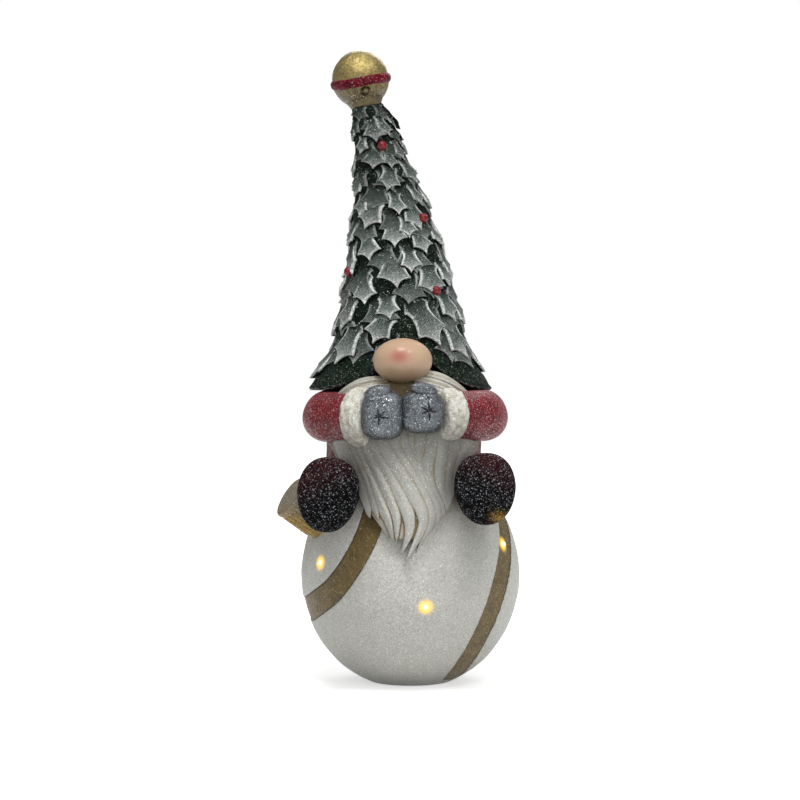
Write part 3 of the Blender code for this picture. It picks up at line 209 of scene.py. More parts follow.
# Locks of the beard: points (x, z) in mm from the top to the tip, half width in mm, height in mm
LOCKS = (
    (((-60, 236), (-57, 214), (-50, 200), (-45, 186), (-42, 180)), 6.0, 2.6),
    (((-54, 240), (-50, 214), (-42, 196), (-34, 178), (-28, 160), (-25.5, 142)), 6.5, 4.2),
    (((-48, 240), (-44, 216), (-37, 198), (-28, 178), (-22, 160), (-18, 146)), 6.0, 3.6),
    (((-42, 240), (-40, 220), (-33, 200), (-24, 180), (-17, 162), (-10, 146), (-5, 127)), 6.2, 3.4),
    (((-35, 240), (-33, 220), (-27, 202), (-17, 182), (-8, 164), (-3, 148), (-3, 128)), 6.4, 3.8),
    (((-27, 240), (-26, 220), (-20, 204), (-9, 184), (1, 166), (7, 150), (7.5, 136), (1.5, 119)), 6.8, 4.4),
    (((-19, 240), (-18, 222), (-13, 206), (-2, 188), (11, 168), (19, 152), (18, 138), (5, 113)), 7.6, 5.2),
    (((-10, 240), (-9, 224), (-4, 206), (7, 188), (20, 168), (26, 152), (23.5, 138), (13.5, 119)), 6.8, 4.2),
    (((-1, 240), (0, 222), (5, 206), (14, 188), (24, 170), (31, 156), (31, 144), (26, 131)), 6.6, 3.8),
    (((9, 240), (9, 222), (11, 204), (18, 188), (27, 172), (34.5, 158), (35.5, 146), (34, 136)), 6.2, 3.2),
    (((18, 240), (17, 222), (16, 205), (15.5, 192), (22, 178)), 6.0, 3.6),
    (((26, 240), (27, 222), (25, 204), (23, 190), (27, 176), (33, 162)), 6.4, 4.0),
    (((35, 240), (36.5, 222), (36, 204), (34, 188), (35, 172), (39, 158), (43.5, 141)), 6.4, 4.4),
    (((44, 240), (46, 222), (45, 204), (41, 188), (39, 172), (40, 158), (44, 146)), 6.4, 3.8),
    (((53, 240), (55, 222), (54, 206), (49, 190), (45, 176), (44, 162)), 6.4, 3.4),
    (((61, 238), (64, 220), (61, 206), (54, 192), (49, 178), (47.5, 166)), 5.6, 2.6),
)
COAT_CENTRE = Vector((0.0030, 0.0290))
COAT_HALF_WIDTH = 0.0675
COAT_HALF_DEPTH = 0.0560
COAT_HEM_Z = 0.1600
SHOULDER_Z = 0.2680
# Outline of the coat from under its hem to the shoulders: height and growth of the half widths
COAT_OUTLINE = (
    (COAT_HEM_Z - 0.014, -0.0100), (COAT_HEM_Z - 0.006, -0.0030), (COAT_HEM_Z - 0.002, 0.0030),
    (COAT_HEM_Z + 0.002, 0.0055), (COAT_HEM_Z + 0.006, 0.0050), (COAT_HEM_Z + 0.012, 0.0022),
    (COAT_HEM_Z + 0.022, 0.0008), (0.205, 0.0), (0.225, -0.0006), (0.240, -0.0020),
    (SHOULDER_Z - 0.012, -0.0060), (SHOULDER_Z, -0.0130), (SHOULDER_Z + 0.006, -0.0200),
)
LEG_RADIUS = 0.0200
KNEE_Y = -0.0400
LEG_IN_BOOT = 0.0120
BOOT_SOLE_Y = -0.1133
BOOT_LENGTH = 0.0560
# Boots: side, middle of the sole (x, z), half sizes and tilt
BOOTS = (("left", Vector((-0.0583, 0.1680)), Vector((0.0252, 0.0305)), math.radians(-8.0)),
         ("right", Vector((0.0688, 0.1727)), Vector((0.0250, 0.0292)), math.radians(4.0)))
# Outline of a boot from the sole to the ankle: depth behind the sole and share of the half sizes
BOOT_OUTLINE = (
    (-0.0014, 0.22), (-0.0009, 0.42), (0.0, 0.60), (0.0010, 0.78), (0.0024, 0.89), (0.0042, 0.955),
    (0.0062, 0.99), (0.0080, 1.0), (0.0098, 0.985), (0.0108, 0.962), (0.0120, 0.975), (0.0150, 0.99),
    (0.0260, 0.955), (0.0340, 0.88), (0.0420, 0.78), (0.0500, 0.65), (BOOT_LENGTH, 0.52),
)
BOOT_WELT = 0.0108
# Painted gold reflection on the right boot's sole: its middle (x, z) and radius
BOOT_GOLD_REFLECTION = (0.0800, 0.1500)
BOOT_GOLD_REFLECTION_RADIUS = 0.0058
BOOT_SQUARENESS = 2.35
BOOT_HEEL_TAPER = 0.16

# Camera and lights
CAMERA_PLACE = (0.0, -1.6, 0.2446)
CAMERA_LENS = 83.25
# Lights: name, place, point it looks at, size, power and colour
LIGHTS = (
    ("key_top", (-0.12, -0.70, 1.85), (0.0, 0.0, 0.26), 0.50, 18.5, (1.0, 0.99, 0.97)),
    ("key_right", (0.62, -0.95, 1.70), (0.0, 0.0, 0.26), 0.40, 8.5, (0.99, 0.995, 1.0)),
    ("fill_front", (0.55, -1.70, 0.75), (0.0, 0.0, 0.26), 1.10, 6.5, (1.0, 1.0, 1.0)),
    ("rim_back", (0.2, 1.3, 1.2), (0.0, 0.0, 0.30), 0.90, 8.0, (1.0, 1.0, 1.0)),
)


def linear(red, green, blue):
    """Colour from 0 to 255 per channel as the linear values that shaders take."""
    parts = []
    for value in (red, green, blue):
        share = value / 255.0
        parts.append(share / 12.92 if share <= 0.04045 else ((share + 0.055) / 1.055) ** 2.4)
    return tuple(parts)


# Properties

def colour_property(name, description, value):
    """A colour that a user can change."""
    return bpy.props.FloatVectorProperty(name=name, description=description, subtype="COLOR", size=3,
                                         min=0.0, max=1.0, default=value)


class STATUE_PG_colours(bpy.types.PropertyGroup):
    """Colours of the paint."""

    # Near-black green, used as painted shade at the leaves' roots and mixed into the hat body
    leaf_deep: colour_property("Leaf recess", "Green in the recesses of the hat", linear(12, 19, 14))
    leaf: colour_property("Leaf", "Green of the leaves", linear(58, 77, 66))
    snow: colour_property("Snow", "White dusted on the leaves' edges", linear(226, 231, 229))
    berry: colour_property("Berry", "Red of the berries", linear(128, 16, 26))
    gold: colour_property("Bell gold", "Gold leaf of the bell", linear(156, 139, 86))
    # Dark gold for rubbed patches on the bell, also used as painted shade on its lower half
    gold_wash_and_shade: colour_property("Old gold", "Dark wash over the gold", linear(70, 58, 34))
    ribbon: colour_property("Bell band", "Red glitter of the bell's band", linear(104, 14, 32))
    skin: colour_property("Nose", "Skin colour of the nose", linear(184, 155, 128))
    blush: colour_property("Blush", "Pink on the nose", linear(166, 98, 84))
    hair: colour_property("Hair", "White of the beard", linear(186, 186, 180))
    hair_wash: colour_property("Hair wash", "Brown wash in the beard's grooves", linear(136, 120, 92))
    sleeve: colour_property("Sleeve", "Red of the sleeves", linear(119, 26, 34))
    coat: colour_property("Coat", "Maroon of the coat", linear(104, 62, 62))
    fur: colour_property("Fur", "White of the cuffs", linear(214, 213, 205))
    mitten: colour_property("Mitten", "Grey of the mittens", linear(96, 101, 105))
    boot: colour_property("Boot", "Black of the boots", linear(11, 11, 12))
    boot_tint: colour_property("Boot tint", "Maroon dusted on the boots", linear(54, 24, 27))
    ball: colour_property("Ball", "White of the ball", linear(190, 190, 184))
    stripe: colour_property("Stripe", "Gold of the band round the ball", linear(107, 90, 54))
    lamp: colour_property("Lamp", "Warm light of the lamps", (1.0, 0.68, 0.14))


class STATUE_PG_sizes(bpy.types.PropertyGroup):
    """Sizes of the fine surface."""

    grain: bpy.props.FloatProperty(name="Glitter grain", description="Width of a glitter flake",
                                   default=0.00075, min=0.0002, max=0.003, unit="LENGTH", precision=5)
    leaf_lift: bpy.props.FloatProperty(name="Leaf lift", description="How far a leaf's tip stands off",
                                       default=0.0058, min=0.001, max=0.010, unit="LENGTH", precision=4)
    band_width: bpy.props.FloatProperty(name="Stripe width", description="Width of the gold band on the ball",
                                        default=0.0215, min=0.005, max=0.05, unit="LENGTH", precision=4)
    band_depth: bpy.props.FloatProperty(name="Stripe depth", description="How deep the band lies in the ball",
                                        default=0.0009, min=0.0, max=0.003, unit="LENGTH", precision=4)
    lamp_glow: bpy.props.FloatProperty(name="Lamp strength", description="Strength of the lit lamps",
                                       default=1.7, min=0.0, max=100.0)


# Shader expressions

class Value:
    """A shader socket that takes part in Python expressions."""

    def __init__(self, paint, socket):
        self.paint = paint
        self.socket = socket

    def is_vector(self):
        """Whether the socket carries a colour or a vector."""
        return self.socket.type in {"RGBA", "VECTOR"}

    def work(self, operation, other, swap=False):
        """A Math or Vector Math node on this value and another."""
        left, right = (other, self) if swap else (self, other)
        other_wide = other.is_vector() if isinstance(other, Value) else isinstance(other, tuple)
        kind = "ShaderNodeVectorMath" if self.is_vector() or other_wide else "ShaderNodeMath"
        return self.paint.node(kind, {"operation": operation}, {0: left, 1: right})

    def __add__(self, other):
        return self.work("ADD", other)

    def __radd__(self, other):
        return self.work("ADD", other, True)

    def __sub__(self, other):
        return self.work("SUBTRACT", other)

    def __rsub__(self, other):
        return self.work("SUBTRACT", other, True)

    def __mul__(self, other):
        return self.work("MULTIPLY", other)

    def __rmul__(self, other):
        return self.work("MULTIPLY", other, True)

    def __pow__(self, other):
        return self.work("POWER", other)

    def least(self, other):
        """The smaller of two values."""
        return self.work("MINIMUM", other)

    def most(self, other):
        """The larger of two values."""
        return self.work("MAXIMUM", other)

    def ease(self, low, high, start, end):
        """The start value below the low value, the end value above the high one, eased between."""
        sockets = {"Value": self, "From Min": low, "From Max": high, "To Min": start, "To Max": end}
        return self.paint.node("ShaderNodeMapRange", {"interpolation_type": "SMOOTHSTEP"}, sockets)

    def above(self, low, high):
        """0 below the low value, 1 above the high one, eased between."""
        return self.ease(low, high, 0.0, 1.0)

    def below(self, low, high):
        """1 below the low value, 0 above the high one, eased between."""
        return self.ease(low, high, 1.0, 0.0)


class Paint:
    """One material, its Principled shader and a method that makes any other node."""

    def __init__(self, name, **constants):
        self.material = bpy.data.materials.new(name)
        self.material.use_nodes = True
        self.tree = self.material.node_tree
        self.shader = self.tree.nodes["Principled BSDF"]
        for key, value in constants.items():
            self.put(self.shader.inputs[key.replace("_", " ")], value)

    def put(self, socket, value):
        """A link or a plain value into a socket."""
        if isinstance(value, Value):
            self.tree.links.new(value.socket, socket)
        elif socket.type == "RGBA":
            socket.default_value = (*tuple(value)[:3], 1.0)
        elif socket.type == "VECTOR":
            socket.default_value = tuple(value) if hasattr(value, "__len__") else (value, value, value)
        else:
            socket.default_value = value

    def node(self, kind, settings=None, sockets=None, output=0):
        """A node with its settings, then its sockets, as a value."""
        made = self.tree.nodes.new(kind)
        for key, value in (settings or {}).items():
            setattr(made, key, value)
        for key, value in (sockets or {}).items():
            self.put(made.inputs[key], value)
        return Value(self, made.outputs[output])

    def place(self):
        """Where the point is, in metres, on the object itself."""
        return self.node("ShaderNodeTexCoord", output="Object")

    def mark(self, name):
        """A number that the mesh carries at each point."""
        return self.node("ShaderNodeAttribute", {"attribute_name": name}, output="Fac")

    def height(self):
        """Height of the point."""
        return self.node("ShaderNodeSeparateXYZ", None, {0: self.place()}, "Z")

    def mix(self, share, first, second):
        """First colour to second colour by a share."""
        return self.node("ShaderNodeMix", {"data_type": "RGBA"}, {0: share, 6: first, 7: second}, 2)

    def grain(self, size, detail=2.0, rough=0.5):
        """Noise with features of a size in metres, about 0.5 in the middle."""
        return self.node("ShaderNodeTexNoise", None,
                         {"Vector": self.place(), "Scale": 1.0 / size, "Detail": detail, "Roughness": rough})

    def patches(self, size, low, high, first, second, detail=4.0):
        """First colour to second colour in patches of a size."""
        return self.mix(self.grain(size, detail).above(low, high), first, second)

    def flakes(self, size):
        """A random colour for each glitter flake."""
        return self.node("ShaderNodeTexVoronoi", None, {"Vector": self.place(), "Scale": 1.0 / size}, "Color")

    def split(self, colour):
        """The three channels of a colour."""
        made = self.tree.nodes.new("ShaderNodeSeparateColor")
        self.put(made.inputs[0], colour)
        return [Value(self, made.outputs[i]) for i in range(3)]

    def tilt(self, flakes, amount):
        """Normal turned a little at random for each flake."""
        straight = self.node("ShaderNodeNewGeometry", output="Normal")
        leaning = straight + (flakes - (0.5, 0.5, 0.5)) * (amount, amount, amount)
        return self.node("ShaderNodeVectorMath", {"operation": "NORMALIZE"}, {0: leaning})

    def bump(self, height, strength, distance, normal=None):
        """Normal from a height."""
        sockets = {"Height": height, "Strength": strength, "Distance": distance}
        if normal is not None:
            sockets["Normal"] = normal
        return self.node("ShaderNodeBump", None, sockets)

    def to(self, name, value):
        """A value into a socket of the Principled shader."""
        self.put(self.shader.inputs[name], value)


def glitter(paint, colour, spread, sparks, spark_colour, rough=0.62, lean=0.5, height=None, deep=0.0004):
    """Glitter paint: flakes of uneven brightness, a few that flash, over a colour."""
    flakes = paint.flakes(bpy.context.scene.statue_sizes.grain)
    tone, chance, turn = paint.split(flakes)
    speck = chance.above(1.0 - sparks, 1.0 - 0.5 * sparks)
    level = (tone - 0.5) * (2.0 * spread) + 1.0
    shaded = paint.node("ShaderNodeVectorMath", {"operation": "SCALE"}, {0: colour, "Scale": level})
    paint.to("Base Color", paint.mix(speck * (turn * turn * 0.9 + 0.10), shaded, spark_colour))
    paint.to("Roughness", rough - speck * (rough - 0.34) - turn * 0.06)
    normal = paint.tilt(flakes, lean)
    if height is not None:
        normal = paint.bump(height, 1.0, deep, normal)
    paint.to("Normal", normal)
    return paint


# Mesh helpers

def new_piece(name, points, faces, paint, marks=None, sharp=None, outward=True, node=CASTING):
    """A mesh piece that rides on the statue and stands for one of its nodes.

    Marks are numbers at the points. Points past the end of a mark's list take 0.
    """
    mesh = bpy.data.meshes.new(name)
    mesh.from_pydata([tuple(p) for p in points], [], faces)
    if outward:
        shape = bmesh.new()
        shape.from_mesh(mesh)
        bmesh.ops.recalc_face_normals(shape, faces=shape.faces)
        shape.to_mesh(mesh)
        shape.free()
    for key, values in (marks or {}).items():
        filled = np.zeros(len(points), dtype=np.float32)
        filled[:len(values)] = values
        mesh.attributes.new(key, "FLOAT", "POINT").data.foreach_set("value", filled)
    mesh.shade_smooth()
    if sharp is not None:
        mesh.set_sharp_from_angle(angle=math.radians(sharp))
    mesh.materials.append(paint.material)
    piece = bpy.data.objects.new(name, mesh)
    bpy.context.scene.collection.objects.link(piece)
    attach(piece, BODY)
    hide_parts(node)


def band_faces(rows, columns, closed=True, start=0):
    """Quads between rows of points, numbered from start."""
    faces = []
    for row in range(rows - 1):
        for column in range(columns if closed else columns - 1):
            following = (column + 1) % columns
            a = start + row * columns
            faces.append((a + column, a + following, a + columns + following, a + columns + column))
    return faces


def closed_rows(rings, start_point=None, end_point=None):
    """Points and faces of a tube of rings, with a fan at each end that has a point."""
    columns = len(rings[0])
    points = [p for ring in rings for p in ring]
    faces = band_faces(len(rings), columns)
    for end, first in ((start_point, 0), (end_point, (len(rings) - 1) * columns)):
        if end is not None:
            faces += [(first + i, first + (i + 1) % columns, len(points)) for i in range(columns)]
            points.append(end)
    return points, faces


def add_part(points, faces, part):
    """One more form, as its points and faces, into those of a piece."""
    faces += [tuple(index + len(points) for index in face) for face in part[1]]
    points += part[0]


def frame_along(direction):
    """Two directions square to the one given."""
    direction = Vector(direction).normalized()
    helper = UP if abs(direction.z) < 0.9 else Vector((0.0, 1.0, 0.0))
    side = direction.cross(helper).normalized()
    return side, side.cross(direction).normalized()


def turned(origin, axis, profile, count):
    """Rings of a profile (distance along the axis, radius) turned about it."""
    axis = Vector(axis).normalized()
    side, up = frame_along(axis)
    ways = [side * math.cos(TAU * i / count) + up * math.sin(TAU * i / count) for i in range(count)]
    return [[Vector(origin) + axis * along + way * radius for way in ways] for along, radius in profile]


def sphere_ways(rows, columns):
    """Rings of directions on a sphere, from near its top to near its foot."""
    rings = []
    for j in range(1, rows):
        tilt = math.pi * j / rows
        turns = [TAU * i / columns for i in range(columns)]
        rings.append([Vector((math.sin(tilt) * math.cos(t), math.sin(tilt) * math.sin(t), math.cos(tilt)))
                      for t in turns])
    return rings


def smooth_line(points, count):
    """Catmull-Rom curve through points, read at equal steps."""
    points = [Vector(p) for p in points]
    line = []
    spans = len(points) - 1
    for step in range(count):
        where = spans * step / (count - 1)
        k = min(int(where), spans - 1)
        t = where - k
        b, c = points[k], points[k + 1]
        a = points[k - 1] if k > 0 else b * 2.0 - c
        d = points[k + 2] if k + 2 <= spans else c * 2.0 - b
        line.append(0.5 * ((2.0 * b) + (c - a) * t + (2.0 * a - 5.0 * b + 4.0 * c - d) * t * t
                           + (3.0 * b - a - 3.0 * c + d) * t * t * t))
    return line


def eased(value, low, high):
    """0 below the low value, 1 above the high one, eased between."""
    share = min(1.0, max(0.0, (value - low) / (high - low)))
    return share * share * (3.0 - 2.0 * share)


def soft_power(value, power):
    """Signed power."""
    return math.copysign(abs(value) ** power, value)


def lumps(point, size, octaves=3):
    """Noise from about -1 to 1 with features of a size."""
    return noise.fractal(Vector(point) / size, 0.6, 2.0, octaves)


def ball_reach(direction, inset=0.0):
    """Distance from the ball's centre to its skin."""
    flat = math.hypot(direction.x, direction.y) / (BALL_RADIUS - inset)
    return 1.0 / math.hypot(flat, direction.z / (BALL_HALF_HEIGHT - inset))


def ball_direction(azimuth, elevation):
    """Direction from the ball's centre, azimuth from the front."""
    a = math.radians(azimuth)
    e = math.radians(elevation)
    return Vector((math.sin(a) * math.cos(e), -math.cos(a) * math.cos(e), math.sin(e)))


def cap_axis():
    """Way the ornament cap points."""
    return Vector((-math.cos(CAP_TURN) * math.cos(CAP_SLOPE), -math.sin(CAP_TURN),
                   math.cos(CAP_TURN) * math.sin(CAP_SLOPE)))


def band_stations():
    """Points along the middle of the gold band on the ball, as directions."""
    axis = cap_axis()
    side = axis.cross(UP).normalized()
    up = axis.cross(side).normalized()
    ways = []
    for turn, angle, _ in smooth_line([(turn, angle, 0.0) for turn, angle in BAND_COURSE], 400):
        around = side * math.cos(math.radians(turn)) + up * math.sin(math.radians(turn))
        ways.append(axis * math.cos(math.radians(angle)) + around * math.sin(math.radians(angle)))
    return np.array([tuple(way) for way in ways])


# Hat

def hat_radius(share):
    """Radius of the hat without its leaves."""
    cone = HAT_BASE_RADIUS + (HAT_TOP_RADIUS - HAT_BASE_RADIUS) * share
    hollow = HAT_HOLLOW * math.sin(math.pi * min(max(share, 0.0), 1.0))
    return cone - hollow + BRIM_FLARE * math.exp(-(share / BRIM_FLARE_SHARE) ** 2)


def hat_middle(share):
    """Middle of the hat at a share of its height."""
    return Vector((HAT_CENTRE.x - HAT_LEAN * max(share, 0.0) ** HAT_LEAN_POWER, HAT_CENTRE.y))


def brim_share(turn):
    """Share of the hat's height at which the brim's edge lies."""
    away = math.remainder(turn - ARCH_TURN, TAU)
    spread = ARCH_SPREAD[math.copysign(1.0, away)]
    return ARCH_RISE * math.exp(-(abs(away) / spread) ** ARCH_POWER) / HAT_HEIGHT


def on_hat(turn, share, lift=0.0):
    """Point on the hat: turn from the front, share of its height, distance off it."""
    middle = hat_middle(share)
    radius = hat_radius(share)
    return Vector((middle.x + (radius + lift) * math.sin(turn),
                   middle.y - (radius * HAT_DEPTH_RATIO + lift) * math.cos(turn),
                   BRIM_Z + share * HAT_HEIGHT))


def brim_lip(turn, rise):
    """How far the rolled brim stands out at the front, by the height over its edge."""
    return BRIM_LIP * max(0.0, math.cos(turn)) * math.exp(-(rise / BRIM_LIP_RISE) ** 2)


def hat_paint(colours):
    """Dark green of the hat between its leaves and at its brim."""
    paint = Paint("hat_green", Specular_IOR_Level=0.04)
    rise = paint.mark("rise")
    patch = paint.grain(0.006, 4.0, 0.6)
    # The hat's own dark green, made darker still toward the near-black recess green as painted shade between
    # the leaves
    colour = paint.mix(patch.above(0.30, 0.80) * 0.6, colours.leaf_deep, linear(38, 51, 42))
    dust = rise.below(0.0, 0.0020) * paint.grain(0.0030, 3.0).above(0.40, 0.62) * 0.25
    colour = paint.mix(dust, colour, colours.snow)
    return glitter(paint, colour, 0.80, 0.08, linear(146, 160, 150), 0.62, 0.5,
                   paint.grain(0.0016, 3.0), 0.0006)


def build_hat(colours):
    """Hat body with a thick rolled brim."""
    columns = 180
    rows = 90
    turns = [TAU * i / columns for i in range(columns)]
    rings = []
    rises = []
    for depth, height in BRIM_PROFILE:
        rings.append([on_hat(t, brim_share(t), depth + brim_lip(t, 0.0)) + UP * height for t in turns])
        rises += [max(0.0, height)] * columns
    outer_rise = BRIM_PROFILE[-1][1]
    for row in range(1, rows + 1):
        share = row / rows
        ring = []
        for turn in turns:
            edge = brim_share(turn) + BRIM_SHARE
            lip = brim_lip(turn, (share * (1.0 - edge) + BRIM_SHARE) * HAT_HEIGHT)
            point = on_hat(turn, edge + share * (1.0 - edge), lip)
            out = Vector((math.sin(turn), -math.cos(turn), 0.0))
            ring.append(point + out * (0.0007 * lumps(point, 0.009)))
        rings.append(ring)
        rises += [outer_rise + share * 0.2] * columns
    under = Vector((HAT_CENTRE.x, HAT_CENTRE.y, BRIM_Z + 0.5 * ARCH_RISE))
    points, faces = closed_rows(rings, under, on_hat(0.0, 1.0, -hat_radius(1.0) * HAT_DEPTH_RATIO))
    new_piece("hat_body", points, faces, hat_paint(colours), {"rise": rises + [0.0, 0.2]})


def leaf_width(along):
    """Share of the half width at a share along the leaf: spines with hollow arcs between them."""
    for (v0, w0, sag), (v1, w1, _) in zip(LEAF_ARCS, LEAF_ARCS[1:]):
        if along <= v1:
            t = (along - v0) / (v1 - v0)
            return w0 + (w1 - w0) * t - 4.0 * sag * t * (1.0 - t) * (1.0 - 0.35 * t)
    return 0.0


def leaf_stations():
    """Shares along a leaf, close together at the spines."""
    count = 8
    shares = []
    for (v0, _, _), (v1, _, _) in zip(LEAF_ARCS, LEAF_ARCS[1:]):
        steps = [i / count for i in range(count)]
        shares += [v0 + (v1 - v0) * (t - math.sin(TAU * t) / TAU * 0.65) for t in steps]
    return shares + [1.0]


def recess(turns, shares, heights):
    """How deep each point lies among the leaves round it, from 0 to 1."""
    rows, columns = 400, 720
    row = np.clip((np.array(shares) * rows).astype(int), 0, rows - 1)
    column = (np.array(turns) / TAU * columns).astype(int) % columns
    heights = np.array(heights)
    top = np.zeros((rows, columns))
    np.maximum.at(top, (row, column), heights)
    for _ in range(2):
        wide = np.maximum(np.roll(top, 1, 1), np.roll(top, -1, 1))
        top = np.where(top > 0.0, top, wide)
        tall = np.pad(top, ((1, 1), (0, 0)), mode="edge")
        top = np.where(top > 0.0, top, np.maximum(tall[:-2], tall[2:]))
    blurred = top
    for _ in range(8):
        tall = np.pad(blurred, ((1, 1), (0, 0)), mode="edge")
        blurred = (tall[:-2] + tall[2:] + np.roll(blurred, 1, 1) + np.roll(blurred, -1, 1)) * 0.25
        wide = np.roll(blurred, 2, 1) + np.roll(blurred, -2, 1)
        blurred = 0.5 * blurred + 0.25 * wide
    return np.clip((blurred[row, column] - heights) / (1.3 * MM), 0.0, 1.0)


def add_leaf(store, tip, root, half_width, lift, under, seed):
    """One leaf on the hat, tip down: (turn, share) of its tip and root, half width in metres."""
    radius = hat_radius(0.5 * (tip[1] + root[1]))
    swing = tip[0] - root[0]
    drop = tip[1] - root[1]
    length = math.hypot(swing * radius, drop * HAT_HEIGHT)
    side_turn = -drop * HAT_HEIGHT / length
    side_rise = swing * radius / length
    skew = 0.16 * half_width * math.sin(seed * 2.3)
    stations = leaf_stations()
    points, faces, marks = store["points"], store["faces"], store["marks"]
    first = len(points)
    for v in stations:
        width = leaf_width(v)
        for s in LEAF_ACROSS:
            uneven = 1.0 + 0.14 * math.sin(seed * 5.1 + (1.7 if s > 0.0 else 0.0) + 3.0 * v)
            u = s * width * uneven * half_width
            forward = v + 0.10 * (s * width) ** 2
            bent = u + skew * math.sin(math.pi * forward)
            turn = root[0] + swing * forward + side_turn * bent / radius
            share = root[1] + drop * forward + side_rise * bent / HAT_HEIGHT
            edge = min((1.0 - abs(s)) * width * half_width, (1.0 - v) * length * 0.8 + 0.00005)
            near = max(0.0, 1.0 - max(edge, 0.0) / LEAF_ROUNDING)
            rounding = 0.8 * LEAF_ROUNDING * (1.0 - math.sqrt(1.0 - near * near))
            dome = LEAF_DOME * (1.0 - s * s) * width - rounding
            rib = LEAF_RIB * math.exp(-(u / LEAF_RIB_WIDTH) ** 2) * eased(v, 0.02, 0.2) * (1.0 - v)
            curl = LEAF_CURL * eased(abs(s) * width, 0.35, 1.0)
            wave = math.sin(abs(u) * 2600.0 + forward * length * 1900.0)
            ripple = LEAF_RIPPLE * wave * (1.0 - 0.7 * abs(s))
            rise = (lift + LEAF_ROOT_DEPTH) * (0.12 * forward + 0.88 * eased(forward, 0.05, 1.05))
            height = rise - LEAF_ROOT_DEPTH + dome - rib + curl + ripple
            points.append(on_hat(turn, share, height))
            for key, value in (("turn", turn), ("share", share), ("height", height), ("edge", edge / MM),
                               ("along", forward), ("side", u / MM), ("rib", forward * length / MM),
                               ("under", under)):
                marks[key].append(value)
    columns = len(LEAF_ACROSS)
    full_rows = len(stations) - 1
    faces += band_faces(full_rows, columns, False, first)
    tip_at = first + full_rows * columns
    last = tip_at - columns
    faces += [(last + k, last + k + 1, tip_at) for k in range(columns - 1)]
    rim = [first + row * columns for row in range(full_rows)] + [tip_at]
    rim += [first + row * columns + columns - 1 for row in range(full_rows - 1, -1, -1)]
    skirt = len(points)
    for index in rim:
        top = points[index]
        out = Vector((top.x - HAT_CENTRE.x, top.y - HAT_CENTRE.y, 0.0)).normalized()
        points.append(top - out * (lift + LEAF_SKIRT))
        for key, values in marks.items():
            values.append({"edge": -3.0, "height": marks["height"][index] - lift}.get(key, values[index]))
    faces += [(rim[i], rim[i + 1], skirt + i + 1, skirt + i) for i in range(len(rim) - 1)]


def leaf_paint(colours):
    """Green leaf, with painted shade at its root and in the recesses under other leaves, dusted white on
    edges, tip and veins.
    """
    paint = Paint("holly_leaf", Specular_IOR_Level=0.06)
    edge, along, side, rib = (paint.mark(key) for key in ("edge", "along", "side", "rib"))
    patch = paint.grain(0.005, 4.0, 0.6)
    fine = paint.grain(0.0011, 3.0, 0.6)
    open_face = along.above(0.22, 0.78)
    # Painted shade: each leaf darkens to the recess green toward its root, under the leaf above
    lit = (open_face * 0.75 + patch.above(0.4, 0.7) * 0.25) * edge.above(-1.0, 0.1)
    green = paint.mix(lit, colours.leaf_deep, colours.leaf)
    rim = edge.below(0.0, 3.8) * along.above(0.15, 0.50) * (patch * 1.5 + 0.46)
    tip = along.above(0.58, 1.02) * (patch * 0.9 + 0.46)
    slant = paint.node("ShaderNodeMath", {"operation": "ABSOLUTE"}, {0: side}) * 1.1 + rib + fine * 1.4
    stripe = paint.node("ShaderNodeMath", {"operation": "SINE"}, {0: slant * 3.6})
    vein = stripe.above(-0.1, 0.9) * open_face * (patch * 0.9 + 0.1)
    dust = rim.most(tip).most(vein * 0.8) + fine.above(0.45, 0.75) * open_face * 0.20
    high = paint.height().above(0.37, 0.46)
    dust = dust * (paint.grain(0.0018, 4.0, 0.7) * 1.3 + 0.35) * (1.0 - high * 0.38)
    dust = dust.least(1.0) * edge.above(-0.9, 0.0) * (1.0 - paint.mark("under") * 0.35)
    colour = paint.mix(dust, green, colours.snow)
    # Painted shade: near-black in the recesses between leaves, and darker on leaves that lie under others
    recess_shade = (paint.mark("recess").above(0.05, 0.58) * 0.97).most(paint.mark("under") * 0.30)
    colour = paint.mix(recess_shade, paint.mix(high * 0.25, colour, linear(24, 32, 28)), linear(7, 12, 9))
    height = stripe * 0.35 * open_face + fine
    return glitter(paint, colour, 0.50, 0.05, linear(220, 226, 220), 0.62, 0.5, height, 0.0012)


def build_leaves(colours, sizes):
    """Holly leaves that lie over each other down the hat."""
    keys = ("turn", "share", "height", "edge", "along", "side", "rib", "under")
    store = {"points": [], "faces": [], "marks": {key: [] for key in keys}}
    seed = 0
    for tip_turn, tip_share, root_turn, root_share, half in FRONT_LEAVES:
        seed += 1
        lift = sizes.leaf_lift * (1.05 - 0.40 * tip_share + 0.12 * math.sin(seed * 1.3))
        add_leaf(store, (math.radians(tip_turn), tip_share), (math.radians(root_turn), root_share),
                 half * MM, lift, 0.0, seed)
    for row, (tip_share, count, length) in enumerate(BACK_ROWS):
        for i in range(count):
            seed += 1
            turn = 360.0 * (i + 0.5 * (row % 2)) / count + 9.0 * math.sin(seed * 1.9)
            hidden = abs(math.remainder(turn, 360.0)) < BACK_FROM
            share = tip_share + 0.012 * math.sin(seed * 2.7) + (0.035 if hidden else 0.0)
            sway = math.tan(math.radians(13.0 * math.sin(seed * 3.1))) * length * MM / hat_radius(share)
            lift = sizes.leaf_lift * (0.42 if hidden else 1.05 - 0.40 * tip_share)
            turn = math.radians(turn)
            add_leaf(store, (turn, share), (turn + sway, share + length * MM / HAT_HEIGHT),
                     0.40 * length * MM, lift, float(hidden), seed)
    marks = store["marks"]
    # Depth among the leaves, for the painted shade in the recesses
    marks["recess"] = recess(marks.pop("turn"), marks.pop("share"), marks.pop("height"))
    new_piece("hat_leaves", store["points"], store["faces"], leaf_paint(colours), marks)


